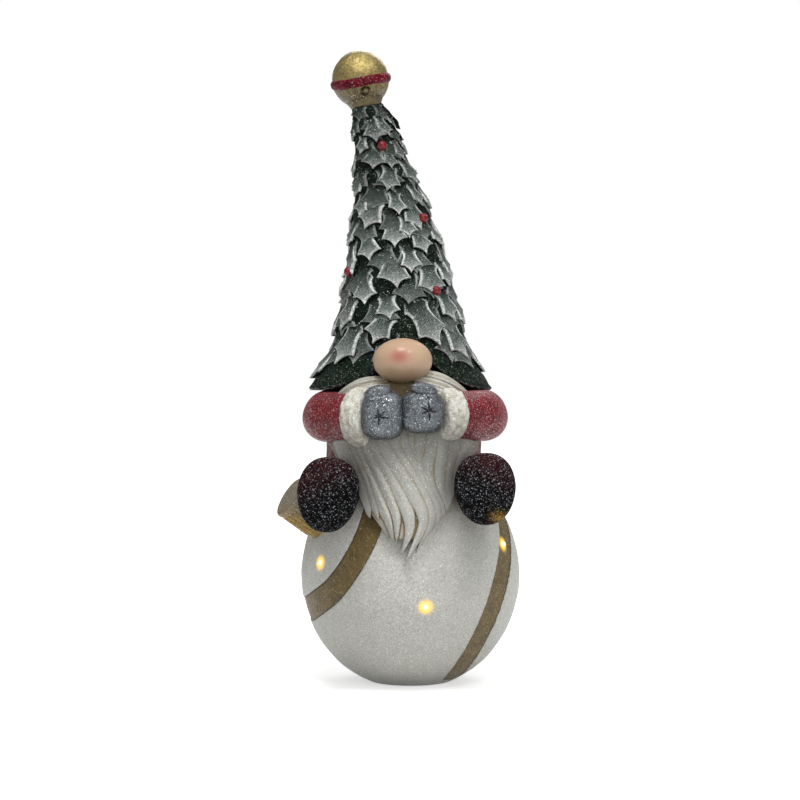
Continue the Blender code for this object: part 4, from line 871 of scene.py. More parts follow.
def build_berries(colours):
    """Red berries among the leaves."""
    points = []
    faces = []
    for number, (turn, share) in enumerate(BERRIES):
        centre = on_hat(math.radians(turn), share, BERRY_LIFT)
        rings = []
        for ways in sphere_ways(12, 20):
            rings.append([centre + way * (BERRY_RADIUS * (1.0 + 0.05 * math.sin(3.0 * i + number)))
                          for i, way in enumerate(ways)])
        top = centre + UP * BERRY_RADIUS
        add_part(points, faces, closed_rows(rings, top, centre - UP * BERRY_RADIUS * 0.94))
    paint = Paint("berry_red", Specular_IOR_Level=0.3, Coat_Weight=0.12)
    colour = paint.patches(0.0015, 0.35, 0.7, colours.berry, linear(70, 8, 16), 3.0)
    glitter(paint, colour, 0.35, 0.04, linear(226, 140, 140), 0.42, 0.3)
    new_piece("berries", points, faces, paint)


# Bell

def bell_axis():
    """The bell stands in line with the hat's tip."""
    middle = hat_middle(1.0)
    return (BELL_CENTRE - Vector((middle.x, middle.y, HAT_TOP_Z))).normalized()


def bell_paint(colours):
    """Gold leaf, rubbed thin in patches and dusted with glitter low down, with painted shade darkening its
    lower half.
    """
    paint = Paint("bell_gold")
    high = paint.height().above(0.508, 0.538)
    patch = paint.grain(0.005, 5.0, 0.65)
    # Painted shade: the bell's lower half darkens toward the dark gold, on top of random rubbed patches
    darkened = (patch.above(0.46, 0.70) * 0.4 + (1.0 - high) * 0.85).least(1.0)
    colour = paint.mix(darkened, colours.gold, colours.gold_wash_and_shade)
    mark = paint.mark("mark")
    colour = paint.mix(mark * 0.75, colour, linear(48, 36, 18))
    glitter(paint, colour, 0.24, 0.03, linear(212, 200, 160), 0.33, 0.16,
            paint.grain(0.0032, 5.0, 0.65) - mark * 1.5, 0.0012)
    paint.to("Metallic", 0.85 - darkened * 0.45)
    return paint


def build_bell(colours):
    """Jingle bell on the hat's tip, with the neck it stands on and a pressed ring."""
    axis = bell_axis()
    side, up = frame_along(axis)
    seal = SEAL_WAY.normalized()
    rings = []
    marks = []
    for ways in sphere_ways(80, 120):
        ring = []
        for x, y, z in ways:
            way = side * x + up * y - axis * z
            away = seal.angle(way) * BELL_RADIUS
            groove = math.exp(-((away - SEAL_RADIUS) / SEAL_LINE) ** 2)
            groove *= 1.0 if way.x < seal.x + 0.05 or way.z > seal.z else 0.5
            relief = BELL_FOIL_RELIEF * lumps(way, 0.35) - SEAL_DEPTH * groove
            ring.append(BELL_CENTRE + way * (BELL_RADIUS + relief))
            marks.append(groove)
        rings.append(ring)
    points, faces = closed_rows(rings, BELL_CENTRE - axis * BELL_RADIUS, BELL_CENTRE + axis * BELL_RADIUS)
    neck = turned(BELL_CENTRE, axis, BELL_NECK, 120)
    ends = [BELL_CENTRE + axis * BELL_NECK[i][0] for i in (0, -1)]
    add_part(points, faces, closed_rows(neck, *ends))
    new_piece("bell", points, faces, bell_paint(colours), {"mark": marks})


def build_bell_band(colours):
    """Raised band of red glitter round the bell."""
    axis = BELL_BAND_AXIS.normalized()
    side, up = frame_along(axis)
    rings = []
    for k in range(13):
        across = -1.0 + 2.0 * k / 12.0
        ring = []
        for i in range(160):
            turn = TAU * i / 160
            out = side * math.cos(turn) + up * math.sin(turn)
            along = BELL_BAND_PLACE + across * BELL_BAND_HALF + 0.0003 * math.sin(3.0 * turn + 1.0)
            reach = math.sqrt(BELL_RADIUS ** 2 - along ** 2) - BELL_BAND_ROOT
            reach += BELL_BAND_HEIGHT * (1.0 - abs(across) ** 3.0)
            point = BELL_CENTRE + axis * along + out * reach
            ring.append(point + out * (0.0002 * lumps(point, 0.002)))
        rings.append(ring)
    points, faces = closed_rows(rings)
    paint = Paint("band_red_glitter", Specular_IOR_Level=0.1)
    colour = paint.patches(0.004, 0.35, 0.7, colours.ribbon, linear(60, 5, 18), 3.0)
    glitter(paint, colour, 0.60, 0.08, linear(210, 150, 154), 0.5, 0.5)
    new_piece("bell_band", points, faces, paint)


# Face and beard

def build_nose(colours):
    """Big smooth nose, glossy and a little pink."""
    rings = []
    for ways in sphere_ways(60, 90):
        rings.append([NOSE_CENTRE + Vector((way.x * NOSE_HALF.x, way.y * NOSE_HALF.y,
                                            way.z * NOSE_HALF.z * (1.0 - 0.03 * max(0.0, -way.z) ** 2)))
                      for way in ways])
    points, faces = closed_rows(rings, NOSE_CENTRE + UP * NOSE_HALF.z, NOSE_CENTRE - UP * NOSE_HALF.z)
    spot = NOSE_CENTRE + BLUSH_PLACE
    pink = []
    low = []
    for p in points:
        away = Vector(((p.x - spot.x) / 1.25, p.y - spot.y, p.z - spot.z)).length
        pink.append(math.exp(-(away / BLUSH_RADIUS) ** 2))
        low.append(1.0 - eased(p.z, NOSE_CENTRE.z - 0.019, NOSE_CENTRE.z - 0.006))
    paint = Paint("nose_skin", Specular_IOR_Level=0.35, Coat_Weight=0.16, Coat_Roughness=0.14)
    mottle = paint.grain(0.010, 4.0, 0.6)
    colour = paint.mix(paint.mark("pink"), colours.skin, colours.blush)
    colour = paint.mix(paint.mark("low") * 0.30, colour, linear(150, 116, 84))
    colour = paint.mix(mottle.above(0.4, 0.8) * 0.18, colour, linear(176, 146, 120))
    specks = paint.grain(0.0009, 1.0).above(0.74, 0.80)
    paint.to("Base Color", paint.mix(specks * 0.5, colour, linear(110, 84, 62)))
    paint.to("Roughness", 0.36 + mottle * 0.14)
    paint.to("Normal", paint.bump(paint.grain(0.004, 3.0), 0.25, 0.0004))
    new_piece("nose", points, faces, paint, {"pink": pink, "low": low})


def beard_slice(z):
    """Middle X, half width and front Y of the beard's main form at a height."""
    if z >= BEARD_SLICES[0][0]:
        return BEARD_SLICES[0][1:]
    for upper, lower in zip(BEARD_SLICES, BEARD_SLICES[1:]):
        if lower[0] <= z <= upper[0]:
            t = (upper[0] - z) / (upper[0] - lower[0])
            return tuple(a + (b - a) * t for a, b in zip(upper[1:], lower[1:]))
    return BEARD_SLICES[-1][1:]


def beard_form(xs, zs):
    """Front Y of the beard's main form on a grid."""
    form = np.zeros((len(zs), len(xs)))
    for row, z in enumerate(zs):
        middle, half, front = beard_slice(z)
        share = np.minimum(0.96, np.abs(xs - middle) / (half + 0.004))
        form[row] = BEARD_BACK + (front - BEARD_BACK) * np.sqrt(1.0 - share ** 2.6)
    return form


def lock_heights(xs, zs, course, half_width, height, seed):
    """Height of one lock over the beard's form, and how deep its hair lines are, on a grid."""
    line = smooth_line([(x * MM, z * MM, 0.0) for x, z in course], 40)
    grid_x, grid_z = np.meshgrid(xs, zs)
    best = np.full(grid_x.shape, 1e9)
    offset = np.zeros(grid_x.shape)
    along = np.zeros(grid_x.shape)
    for k, (a, b) in enumerate(zip(line, line[1:])):
        dx, dz = b.x - a.x, b.y - a.y
        size = math.hypot(dx, dz)
        t = np.clip(((grid_x - a.x) * dx + (grid_z - a.y) * dz) / size ** 2, 0.0, 1.0)
        away = np.hypot(grid_x - a.x - t * dx, grid_z - a.y - t * dz)
        sign = np.sign((grid_x - a.x) * dz - (grid_z - a.y) * dx)
        nearer = away < best
        best = np.where(nearer, away, best)
        offset = np.where(nearer, away * sign, offset)
        along = np.where(nearer, (k + t) / (len(line) - 1), along)
    taper = np.clip((1.0 - along) / 0.42, 0.0, 1.0) ** 0.62
    width = half_width * MM * np.maximum(taper, 0.02)
    share = offset / width
    inside = np.abs(share) < 1.0
    crown = np.sqrt(np.clip(1.0 - share ** 2, 0.0, 1.0))
    swell = 0.62 + 0.38 * np.clip((along - 0.05) / 0.45, 0.0, 1.0)
    strand = np.cos(share * 5.5 + 0.9 * math.sin(seed) + 1.2 * np.sin(along * 5.0 + seed))
    body = height * MM * swell * crown * (0.35 + 0.65 * np.minimum(1.0, taper))
    lines = 0.00026 * strand * crown * swell
    return np.where(inside, body + lines, -1.0), np.where(inside, strand, 0.0)


def hair_paint(colours, name):
    """White hair with a brown wash in its grooves and fine glitter."""
    paint = Paint(name, Specular_IOR_Level=0.2)
    wash = paint.mark("wash")
    patch = paint.grain(0.012, 4.0, 0.6)
    fine = paint.grain(0.0010, 3.0)
    share = (wash * (patch * 1.4 + 0.40)).least(1.0)
    colour = paint.mix(paint.mark("shade") * 0.85, colours.hair, linear(150, 150, 144))
    colour = paint.mix(share, colour, colours.hair_wash)
    specks = paint.grain(0.0011, 1.0).above(0.75, 0.80) * 0.45
    colour = paint.mix(specks, colour, linear(112, 104, 92))
    return glitter(paint, colour, 0.16, 0.05, linear(245, 245, 240), 0.62, 0.3, fine, 0.00025)


def build_beard(colours):
    """Beard carved in long locks."""
    xs = np.arange(-0.0675, 0.0705, BEARD_STEP)
    zs = np.arange(0.1115, 0.2620, BEARD_STEP)
    form = beard_form(xs, zs)
    tallest = np.full(form.shape, -1.0)
    lines = np.zeros(form.shape)
    for seed, (course, half_width, height) in enumerate(LOCKS):
        lock, strand = lock_heights(xs, zs, course, half_width, height, seed)
        higher = lock > tallest
        lines = np.where(higher, strand, lines)
        tallest = np.maximum(tallest, lock)
    grid_x, grid_z = np.meshgrid(xs, zs)
    middle, half, _ = (np.array(column)[:, None] for column in zip(*(beard_slice(z) for z in zs)))
    backing = (np.abs(grid_x - middle) < half * np.where(grid_z > 0.176, 1.0, 0.84)) & (grid_z > 0.130)
    solid = (tallest > -0.5) | backing
    relief = np.where(tallest > -0.5, tallest, -0.0010)
    blurred = relief.copy()
    for _ in range(10):
        padded = np.pad(blurred, 1, mode="edge")
        blurred = (padded[:-2, 1:-1] + padded[2:, 1:-1] + padded[1:-1, :-2] + padded[1:-1, 2:]) * 0.25
    wash = np.clip((blurred - relief) / 0.0007, 0.0, 1.0)
    top_wash = np.clip((grid_z - 0.192) / 0.022, 0.0, 1.0) * np.clip((0.0020 - relief) / 0.0010, 0.0, 1.0)
    wash = np.clip(wash + 1.1 * top_wash + 0.55 * np.clip((grid_z - 0.240) / 0.010, 0.0, 1.0), 0.0, 1.0)
    shade = np.clip((grid_z - 0.158) / 0.030, 0.0, 1.0)
    y = np.where(solid, form - relief + 0.0015, 0.0040)
    keep = solid.copy()
    keep[1:, :] |= solid[:-1, :]
    keep[:-1, :] |= solid[1:, :]
    keep[:, 1:] |= solid[:, :-1]
    keep[:, :-1] |= solid[:, 1:]
    number = -np.ones(form.shape, dtype=int)
    number[keep] = np.arange(keep.sum())
    points = np.stack((grid_x[keep], y[keep], grid_z[keep]), axis=1)
    faces = []
    rows, columns = form.shape
    for r in range(rows - 1):
        for c in range(columns - 1):
            corners = (number[r, c], number[r, c + 1], number[r + 1, c + 1], number[r + 1, c])
            if min(corners) >= 0 and (solid[r:r + 2, c:c + 2]).any():
                faces.append(tuple(int(k) for k in corners))
    marks = {"wash": wash[keep], "shade": shade[keep]}
    new_piece("beard", points, faces, hair_paint(colours, "beard_white"), marks, 60.0, outward=False)


def swept(line, radii, count, squash=1.0, ripple=None):
    """Closed form along a line; ripple changes the radius by its turn and share along."""
    rings = []
    for i, middle in enumerate(line):
        side, up = frame_along(line[min(i + 1, len(line) - 1)] - line[max(i - 1, 0)])
        ring = []
        for k in range(count):
            turn = TAU * k / count
            reach = radii[i] * (1.0 + (ripple(turn, i / (len(line) - 1)) if ripple else 0.0))
            ring.append(middle + side * (reach * math.cos(turn)) + up * (reach * squash * math.sin(turn)))
        rings.append(ring)
    return closed_rows(rings, line[0], line[-1])


def build_cheeks(colours):
    """Hair that sweeps from beside the nose to under the brim."""
    points = []
    faces = []
    wash = []
    rows, columns = 26, 40
    for sign, (start_rise, end_rise) in CHEEK_RAISE.items():
        for number, ((x0, y0, z0), (x1, y1, z1), thick) in enumerate(CHEEK_STRANDS):
            start = Vector((sign * x0 + NOSE_CENTRE.x, y0, z0 + start_rise))
            end = Vector((sign * x1 + NOSE_CENTRE.x, y1, z1 + end_rise))
            line = smooth_line((start, (start + end) * 0.5 + CHEEK_BULGE, end), rows)
            radii = [thick * math.sin(math.pi * min(1.0, 0.10 + 0.86 * i / 25)) ** 0.6 for i in range(rows)]

            def ripple(turn, along):
                return 0.07 * math.cos(7.0 * turn + number) + 0.03 * math.cos(13.0 * turn + 4.0 * along)

            add_part(points, faces, swept(line, radii, columns, 0.8, ripple))
            for i in range(rows):
                for k in range(columns):
                    groove = 0.5 - 0.5 * math.cos(7.0 * TAU * k / columns + number)
                    wash.append(0.10 + 0.55 * groove * groove + 0.3 * (1.0 - eased(i, 0, 6)))
            wash += [1.0, 0.6]
    marks = {"wash": wash, "shade": [0.0]}
    new_piece("cheek_hair", points, faces, hair_paint(colours, "cheek_white"), marks, 60.0)


# Arms

def build_sleeves(colours):
    """Red glitter sleeves."""
    paint = Paint("sleeve_red_glitter", Specular_IOR_Level=0.15)
    base = paint.patches(0.012, 0.3, 0.75, colours.sleeve, linear(92, 22, 32))
    base = paint.mix(paint.mark("frost") * 0.26, base, linear(176, 134, 138))
    glitter(paint, base, 0.60, 0.17, linear(226, 186, 188), 0.58, 0.6)
    count = 48
    radii = []
    for i in range(count):
        where = i / (count - 1) * (len(SLEEVE_SHARES) - 1)
        k = min(len(SLEEVE_SHARES) - 2, int(where))
        share = SLEEVE_SHARES[k] + (SLEEVE_SHARES[k + 1] - SLEEVE_SHARES[k]) * eased(where - k, 0.0, 1.0)
        radii.append(SLEEVE_RADIUS * share)

    def ripple(turn, along):
        return 0.018 * math.sin(3.0 * turn + 6.0 * along) + 0.012 * math.sin(along * 21.0 + 2.0 * turn)

    for name, sign, course, cuff, _, _, _ in ARMS:
        points, faces = swept(smooth_line(course + (tuple(cuff),), count), radii, 64, 1.0, ripple)
        outer = max(p.x * -sign for p in points)
        frost = [eased(p.x * -sign, outer - 0.012, outer) + 0.4 * eased(p.z, 0.245, 0.256) for p in points]
        new_piece("sleeve_" + name, points, faces, paint, {"frost": frost})


def build_cuffs(colours):
    """Fur cuffs with matted tufts."""
    paint = Paint("cuff_fur", Specular_IOR_Level=0.2)
    tuft = paint.mark("tuft")
    fine = paint.grain(0.0014, 4.0, 0.65)
    colour = paint.mix((tuft.below(-0.5, 0.35) * (paint.grain(0.006, 3.0) * 1.2)).least(1.0) * 0.8,
                       colours.fur, linear(158, 146, 118))
    glitter(paint, colour, 0.20, 0.06, linear(250, 250, 245), 0.7, 0.4, fine, 0.0011)
    for name, sign, _, centre, radius, _, _ in ARMS:
        axis = Vector((sign * math.cos(CUFF_TURN), -math.sin(CUFF_TURN), 0.0))
        side, up = frame_along(axis)
        rings = []
        marks = []
        for j in range(49):
            turn_in = math.pi * (j / 48.0)
            along = -math.cos(turn_in)
            plump = radius * 0.62 + radius * 0.38 * math.sin(turn_in) ** 0.55
            ring = []
            for i in range(120):
                a = TAU * i / 120
                out = side * math.cos(a) + up * math.sin(a)
                point = centre + axis * (0.5 * CUFF_LENGTH * soft_power(along, 0.8)) + out * plump
                where = Vector((point.x, point.y, point.z * 0.7)) + out * 0.002 * along
                curl = lumps(where, 0.0042, 4)
                ring.append(point + out * (CUFF_TUFT * curl) + axis * (0.0004 * lumps(where + UP, 0.003)))
                marks.append(curl)
            rings.append(ring)
        reach = axis * 0.5 * CUFF_LENGTH
        points, faces = closed_rows(rings, centre - reach, centre + reach)
        new_piece("cuff_" + name, points, faces, paint, {"tuft": marks})


def star_depth(x, z, arms):
    """How deep the carved star is at a place in its plane, from 0 to 1."""
    deepest = 0.0
    for degrees, millimetres in arms:
        dx, dz = math.cos(math.radians(degrees)), math.sin(math.radians(degrees))
        reach = millimetres * MM
        along = x * dx + z * dz
        if 0.0 < along < reach:
            away = abs(x * dz - z * dx)
            width = 0.00018 + 0.00042 * math.sin(math.pi * min(1.0, along / reach * 0.9 + 0.1))
            deepest = max(deepest, 1.0 - eased(away, 0.4 * width, 1.5 * width))
    return deepest


def build_mittens(colours):
    """Grey glitter mittens with a thumb on top and a carved star."""
    paint = Paint("mitten_grey_glitter")
    star = paint.mark("star")
    base = paint.patches(0.009, 0.35, 0.8, colours.mitten, linear(70, 74, 78))
    # Painted shade: darker at the mitten's edges, underneath and in the fold under the thumb, from the crease
    # mark
    base = paint.mix(paint.mark("crease") * 0.7, base, linear(34, 38, 44))
    base = paint.mix(star * 0.92, base, linear(12, 12, 14))
    glitter(paint, base, 0.50, 0.14, linear(205, 210, 214), 0.42, 0.50, 1.0 - star, 0.0004)
    paint.to("Metallic", 0.5)
    rows, columns = 120, 200
    for name, sign, _, _, _, centre, half in ARMS:
        rings = []
        stars = []
        painted_shades = []
        star_x, star_z = STAR_PLACES[name]
        thumb = THUMBS[name]
        for j in range(1, rows):
            tilt = math.pi * (j / rows - 0.5 + 0.08 * math.sin(TAU * j / rows))
            ring = []
            for i in range(columns):
                a = TAU * i / columns - 0.55 * math.cos(TAU * i / columns)
                way = (math.cos(tilt) * math.cos(a), math.cos(tilt) * math.sin(a), math.sin(tilt))
                power = sum(abs(w / h) ** MITTEN_SQUARENESS for w, h in zip(way, half))
                x, y, z = (c + w * power ** (-1.0 / MITTEN_SQUARENESS) for c, w in zip(centre, way))
                depth = star_depth(x - star_x, z - star_z, STAR_ARMS[name]) if y < centre.y else 0.0
                bulge = 0.0006 * lumps((x, y, z), 0.012)
                ring.append(Vector((x, y + STAR_DEPTH * depth - bulge, z)))
                stars.append(depth)
                inner = sign * (x - centre.x) / half.x
                under = 1.0 - eased(z, centre.z - half.z, centre.z - 0.7 * half.z)
                slant = thumb.z - 0.0058 + 0.22 * sign * (x - thumb.x)
                fold = math.exp(-((z - slant) / 0.0011) ** 2) * (1.0 - eased(abs(x - thumb.x), 0.006, 0.011))
                # Painted shade at the inner edge, at the sides and underneath
                darkened = eased(inner, 0.82, 1.0) * 0.5 + 0.45 * under + 0.35 * eased(abs(inner), 0.55, 0.95)
                painted_shades.append(min(1.0, max(darkened, fold)))
            rings.append(ring)
        points, faces = closed_rows(rings, centre - UP * half.z, centre + UP * half.z)
        new_piece("mitten_" + name, points, faces, paint, {"star": stars, "crease": painted_shades + [0.4]})
        tip = thumb + Vector((sign * 0.0105, -0.0006, 0.0020))
        tail = thumb - Vector((sign * 0.0108, -0.0016, 0.0030))
        line = smooth_line((tail, thumb, tip), 24)
        radii = []
        for i in range(24):
            round_end = math.sin(math.pi * min(1.0, 0.04 + 0.93 * i / 23)) ** 0.5
            radii.append(THUMB_RADIUS * round_end * (1.0 - 0.18 * i / 23))
        points, faces = swept(line, radii, 32)
        # Painted shade on the thumb's underside
        painted_shades = [1.0 - eased(p.z, thumb.z - 0.0055, thumb.z - 0.001) for p in points]
        new_piece("thumb_" + name, points, faces, paint, {"star": [0.0], "crease": painted_shades})


# Coat, legs and boots

def build_coat(colours):
    """Maroon coat from the ball to the hat."""
    rings = []
    frost = []
    for z, grow, _ in smooth_line([(z, grow, 0.0) for z, grow in COAT_OUTLINE], 90):
        folded = eased(z, 0.160, 0.180) * (1.0 - eased(z, 0.225, 0.250))
        ring = []
        for i in range(200):
            a = TAU * i / 200
            fold = 0.0010 * math.sin(9.0 * a + 40.0 * (z - 0.2)) * folded
            fold += 0.0007 * lumps((math.cos(a), math.sin(a), z * 12.0), 0.6)
            ring.append(Vector((COAT_CENTRE.x + (COAT_HALF_WIDTH + grow + fold) * math.cos(a),
                                COAT_CENTRE.y + (COAT_HALF_DEPTH + grow + fold) * math.sin(a), z)))
            frost.append(1.0 - eased(z, COAT_HEM_Z + 0.004, COAT_HEM_Z + 0.016))
        rings.append(ring)
    points, faces = closed_rows(rings)
    paint = Paint("coat_maroon_glitter", Specular_IOR_Level=0.15)
    base = paint.patches(0.012, 0.3, 0.75, colours.coat, linear(84, 44, 48))
    base = paint.mix(paint.mark("frost") * 0.35, base, linear(150, 120, 118))
    glitter(paint, base, 0.55, 0.12, linear(200, 172, 170), 0.6, 0.5)
    new_piece("coat", points, faces, paint, {"frost": frost})


def leg_line(centre):
    """Line from the hip to a place inside the boot."""
    hip = Vector((COAT_CENTRE.x + 0.55 * (centre.x - COAT_CENTRE.x), COAT_CENTRE.y - 0.012, centre.y + 0.010))
    knee = Vector((centre.x * 0.92, KNEE_Y, centre.y + 0.003))
    ankle = Vector((centre.x, BOOT_SOLE_Y + BOOT_LENGTH - LEG_IN_BOOT, centre.y))
    return smooth_line((hip, knee, ankle), 40)


def build_boots(colours):
    """Legs and black glitter boots, soles to the front."""
    paint = Paint("boot_black_glitter", Specular_IOR_Level=0.02)
    share = (paint.mark("tint") * (paint.grain(0.010, 4.0) * 1.5)).least(1.0)
    base = paint.mix(share, colours.boot, colours.boot_tint)
    base = paint.mix(paint.mark("crease") * 0.8, base, linear(8, 8, 9))
    # Painted reflection: a gold patch on the right boot's sole
    base = paint.mix(paint.mark("gilt") * 0.75, base, linear(150, 118, 44))
    glitter(paint, base, 0.90, 0.22, linear(140, 143, 147), 0.55, 0.6)
    trouser = Paint("trouser_maroon_glitter", Specular_IOR_Level=0.15)
    base = trouser.patches(0.010, 0.3, 0.7, colours.coat, linear(70, 38, 42))
    glitter(trouser, base, 0.55, 0.12, linear(200, 172, 170), 0.6, 0.5)

    def ripple(turn, along):
        return 0.02 * math.sin(along * 17.0 + math.sin(turn) * 2.0)

    for name, centre, half, tilt in BOOTS:
        rings = []
        marks = {"tint": [], "crease": [], "gilt": []}
        outward = -1.0 if centre.x < 0.0 else 1.0
        for deep, scale in BOOT_OUTLINE:
            ring = []
            for i in range(120):
                a = TAU * i / 120
                x = half.x * soft_power(math.cos(a), 2.0 / BOOT_SQUARENESS)
                z = half.y * soft_power(math.sin(a), 2.0 / BOOT_SQUARENESS)
                x *= 1.0 - BOOT_HEEL_TAPER * max(0.0, -z / half.y)
                px = centre.x + scale * (x * math.cos(tilt) - z * math.sin(tilt))
                pz = centre.y + scale * (x * math.sin(tilt) + z * math.cos(tilt))
                point = Vector((px, BOOT_SOLE_Y + deep, pz))
                ring.append(point + Vector((0.0, 0.0005 * lumps(point, 0.010), 0.0)))
                upper = (pz - centre.y) / half.y + 0.35 * outward * (px - centre.x) / half.x
                marks["tint"].append(0.85 * eased(upper, -0.15, 1.05))
                marks["crease"].append(math.exp(-((deep - BOOT_WELT) / 0.0012) ** 2))
                # Painted reflection, strongest near the sole
                away = math.hypot(px - BOOT_GOLD_REFLECTION[0], 1.4 * (pz - BOOT_GOLD_REFLECTION[1]))
                gilt = math.exp(-(away / BOOT_GOLD_REFLECTION_RADIUS) ** 2)
                marks["gilt"].append(gilt * (1.0 - eased(deep, 0.006, 0.014)))
            rings.append(ring)
        ends = [Vector((centre.x, BOOT_SOLE_Y + deep, centre.y)) for deep in (-0.0018, BOOT_LENGTH)]
        points, faces = closed_rows(rings, *ends)
        new_piece("boot_" + name, points, faces, paint, marks)
        radii = [LEG_RADIUS * (1.0 - 0.10 * eased(i, 20, 39)) for i in range(40)]
        points, faces = swept(leg_line(centre), radii, 64, 1.0, ripple)
        new_piece("leg_" + name, points, faces, trouser)


# Ball, cap and lamps

def ball_paint(colours):
    """White glitter ball with its gold band, painted shade at its foot, along the band's edges and round the
    figure's seat, and the lamps' glow on it.
    """
    paint = Paint("ball_white_glitter", Specular_IOR_Level=0.3)
    band = paint.mark("band")
    gold = band.below(-0.15, 0.15)
    line = band.above(-1.2, -0.1) * band.below(0.1, 0.7)
    patch = paint.grain(0.020, 4.0, 0.55)
    white = paint.mix(patch.above(0.3, 0.8) * 0.35, colours.ball, linear(178, 178, 172))
    # Painted shade: darker towards the ball's foot
    white = paint.mix(paint.mark("low") * 0.35, white, linear(168, 166, 156))
    stripe = paint.mix(paint.grain(0.010, 4.0, 0.6).above(0.35, 0.7), colours.stripe, linear(86, 72, 43))
    colour = paint.mix(gold, white, stripe)
    # Painted shade: dark lines in the groove along the band's edges
    colour = paint.mix(line * 0.75, colour, linear(52, 42, 26))
    # Brown wash and painted shade on the top of the ball, round where the figure sits
    colour = paint.mix(paint.mark("seat") * (patch * 0.9 + 0.2), colour, linear(122, 106, 74))
    specks = paint.grain(0.0014, 1.0).above(0.70, 0.76) * 0.45
    colour = paint.mix(specks, colour, linear(96, 90, 80))
    halo = paint.mark("glow").below(2.8, 10.0) ** 1.8
    colour = paint.mix(halo * 0.8, colour, linear(186, 140, 52))
    sparks = paint.mix(gold, linear(240, 240, 236), linear(176, 162, 122))
    height = paint.grain(0.0012, 2.0) * 0.5 + gold * -1.0 + line * -0.8
    glitter(paint, colour, 0.20, 0.10, sparks, 0.55, 0.5, height, 0.0006)
    paint.to("Emission Color", paint.mix(halo, (0.0, 0.0, 0.0), (1.0, 0.66, 0.11)))
    paint.to("Emission Strength", 1.0)
    return paint


def build_ball(colours, sizes):
    """Ball with its foot, the gold band bedded in it."""
    stations = band_stations()
    ways = [ball_direction(azimuth, elevation) for _, azimuth, elevation in LAMPS]
    lamp_spots = [BALL_CENTRE + way * ball_reach(way) for way in ways]
    columns = 220
    rows = 190
    bevel = 0.0004
    foot = BALL_RADIUS * math.sqrt(1.0 - (BALL_CENTRE.z / BALL_HALF_HEIGHT) ** 2)
    profile = [(OPENING_RADIUS, FOOT_THICKNESS), (OPENING_RADIUS, SEAT_STEP), (SEAT_RADIUS, SEAT_STEP),
               (SEAT_RADIUS, bevel), (SEAT_RADIUS + bevel, 0.0), (foot - bevel, 0.0)]
    start = math.asin(-BALL_CENTRE.z / BALL_HALF_HEIGHT)
    for j in range(1, rows):
        tilt = start + (0.5 * math.pi - start) * j / rows
        profile.append((BALL_RADIUS * math.cos(tilt), BALL_CENTRE.z + BALL_HALF_HEIGHT * math.sin(tilt)))
    rings = []
    marks = {"band": [], "glow": [], "low": [], "seat": []}
    for radius, z in profile:
        ring = []
        for i in range(columns):
            a = TAU * i / columns
            point = Vector((BALL_CENTRE.x + radius * math.cos(a), BALL_CENTRE.y + radius * math.sin(a), z))
            way = (point - BALL_CENTRE).normalized()
            from_edge = FAR_FROM_BAND
            if z > 0.004:
                away = math.acos(min(1.0, float(np.max(stations @ np.array(way))))) * BALL_RADIUS
                from_edge = (away - 0.5 * sizes.band_width) / MM
                point -= way * (sizes.band_depth * (1.0 - eased(from_edge, -0.9, 0.5)))
                point += way * (0.0004 * lumps(point, 0.035))
            ring.append(point)
            marks["band"].append(from_edge)
            from_lamp = min((point - spot).length for spot in lamp_spots) / MM
            marks["glow"].append(min(FAR_FROM_LAMP, from_lamp))
            marks["low"].append(1.0 - eased(z, 0.0, 0.05))
            marks["seat"].append(eased(z, 0.150, 0.172))
        rings.append(ring)
    points, faces = closed_rows(rings, None, BALL_CENTRE + UP * BALL_HALF_HEIGHT)
    for key, value in (("band", FAR_FROM_BAND), ("glow", FAR_FROM_LAMP), ("seat", 1.0)):
        marks[key].append(value)
    new_piece("ball", points, faces, ball_paint(colours), marks, 55.0)


def build_cap():
    """Short fluted ornament cap."""
    axis = cap_axis()
    skin = ball_reach(axis)
    end = skin + CAP_REACH
    profile = [(skin - 0.012, CAP_ROOT_RADIUS)]
    for i in range(24):
        share = i / 23
        profile.append((skin - 0.004 + (CAP_REACH - 0.001) * share,
                        CAP_ROOT_RADIUS + (CAP_END_RADIUS - CAP_ROOT_RADIUS) * share))
    profile += [(end + along, CAP_END_RADIUS + more) for along, more in CAP_RIM]
    profile.append((end, 0.6 * CAP_END_RADIUS))
    columns = 160
    rings = turned(BALL_CENTRE, axis, profile, columns)
    flute = []
    for (along, _), ring in zip(profile, rings):
        middle = BALL_CENTRE + axis * along
        soft = eased(along, skin, skin + 0.006) * (1.0 - eased(along, end - 0.008, end - 0.004))
        for i, point in enumerate(ring):
            out = (point - middle).normalized()
            wave = math.cos(CAP_FLUTES * TAU * i / columns)
            ring[i] = point + out * (CAP_FLUTE_DEPTH * wave * soft) + out * (0.0003 * lumps(point, 0.008))
            flute.append(0.5 - 0.5 * wave * soft)
    points, faces = closed_rows(rings, None, BALL_CENTRE + axis * end)
    paint = Paint("cap_gold")
    frost = paint.height().above(0.140, 0.158)
    # Painted shade in the troughs of the flutes, the ridges left brighter
    colour = paint.mix(paint.mark("flute") * 0.5, linear(138, 112, 54), linear(76, 60, 28))
    colour = paint.mix(frost * 0.85, colour, linear(118, 112, 97))
    glitter(paint, colour, 0.45, 0.10, linear(206, 196, 166), 0.45, 0.4, paint.grain(0.0015, 3.0), 0.0005)
    paint.to("Metallic", 0.55 - frost * 0.35)
    new_piece("ornament_cap", points, faces, paint, {"flute": flute + [0.5]})


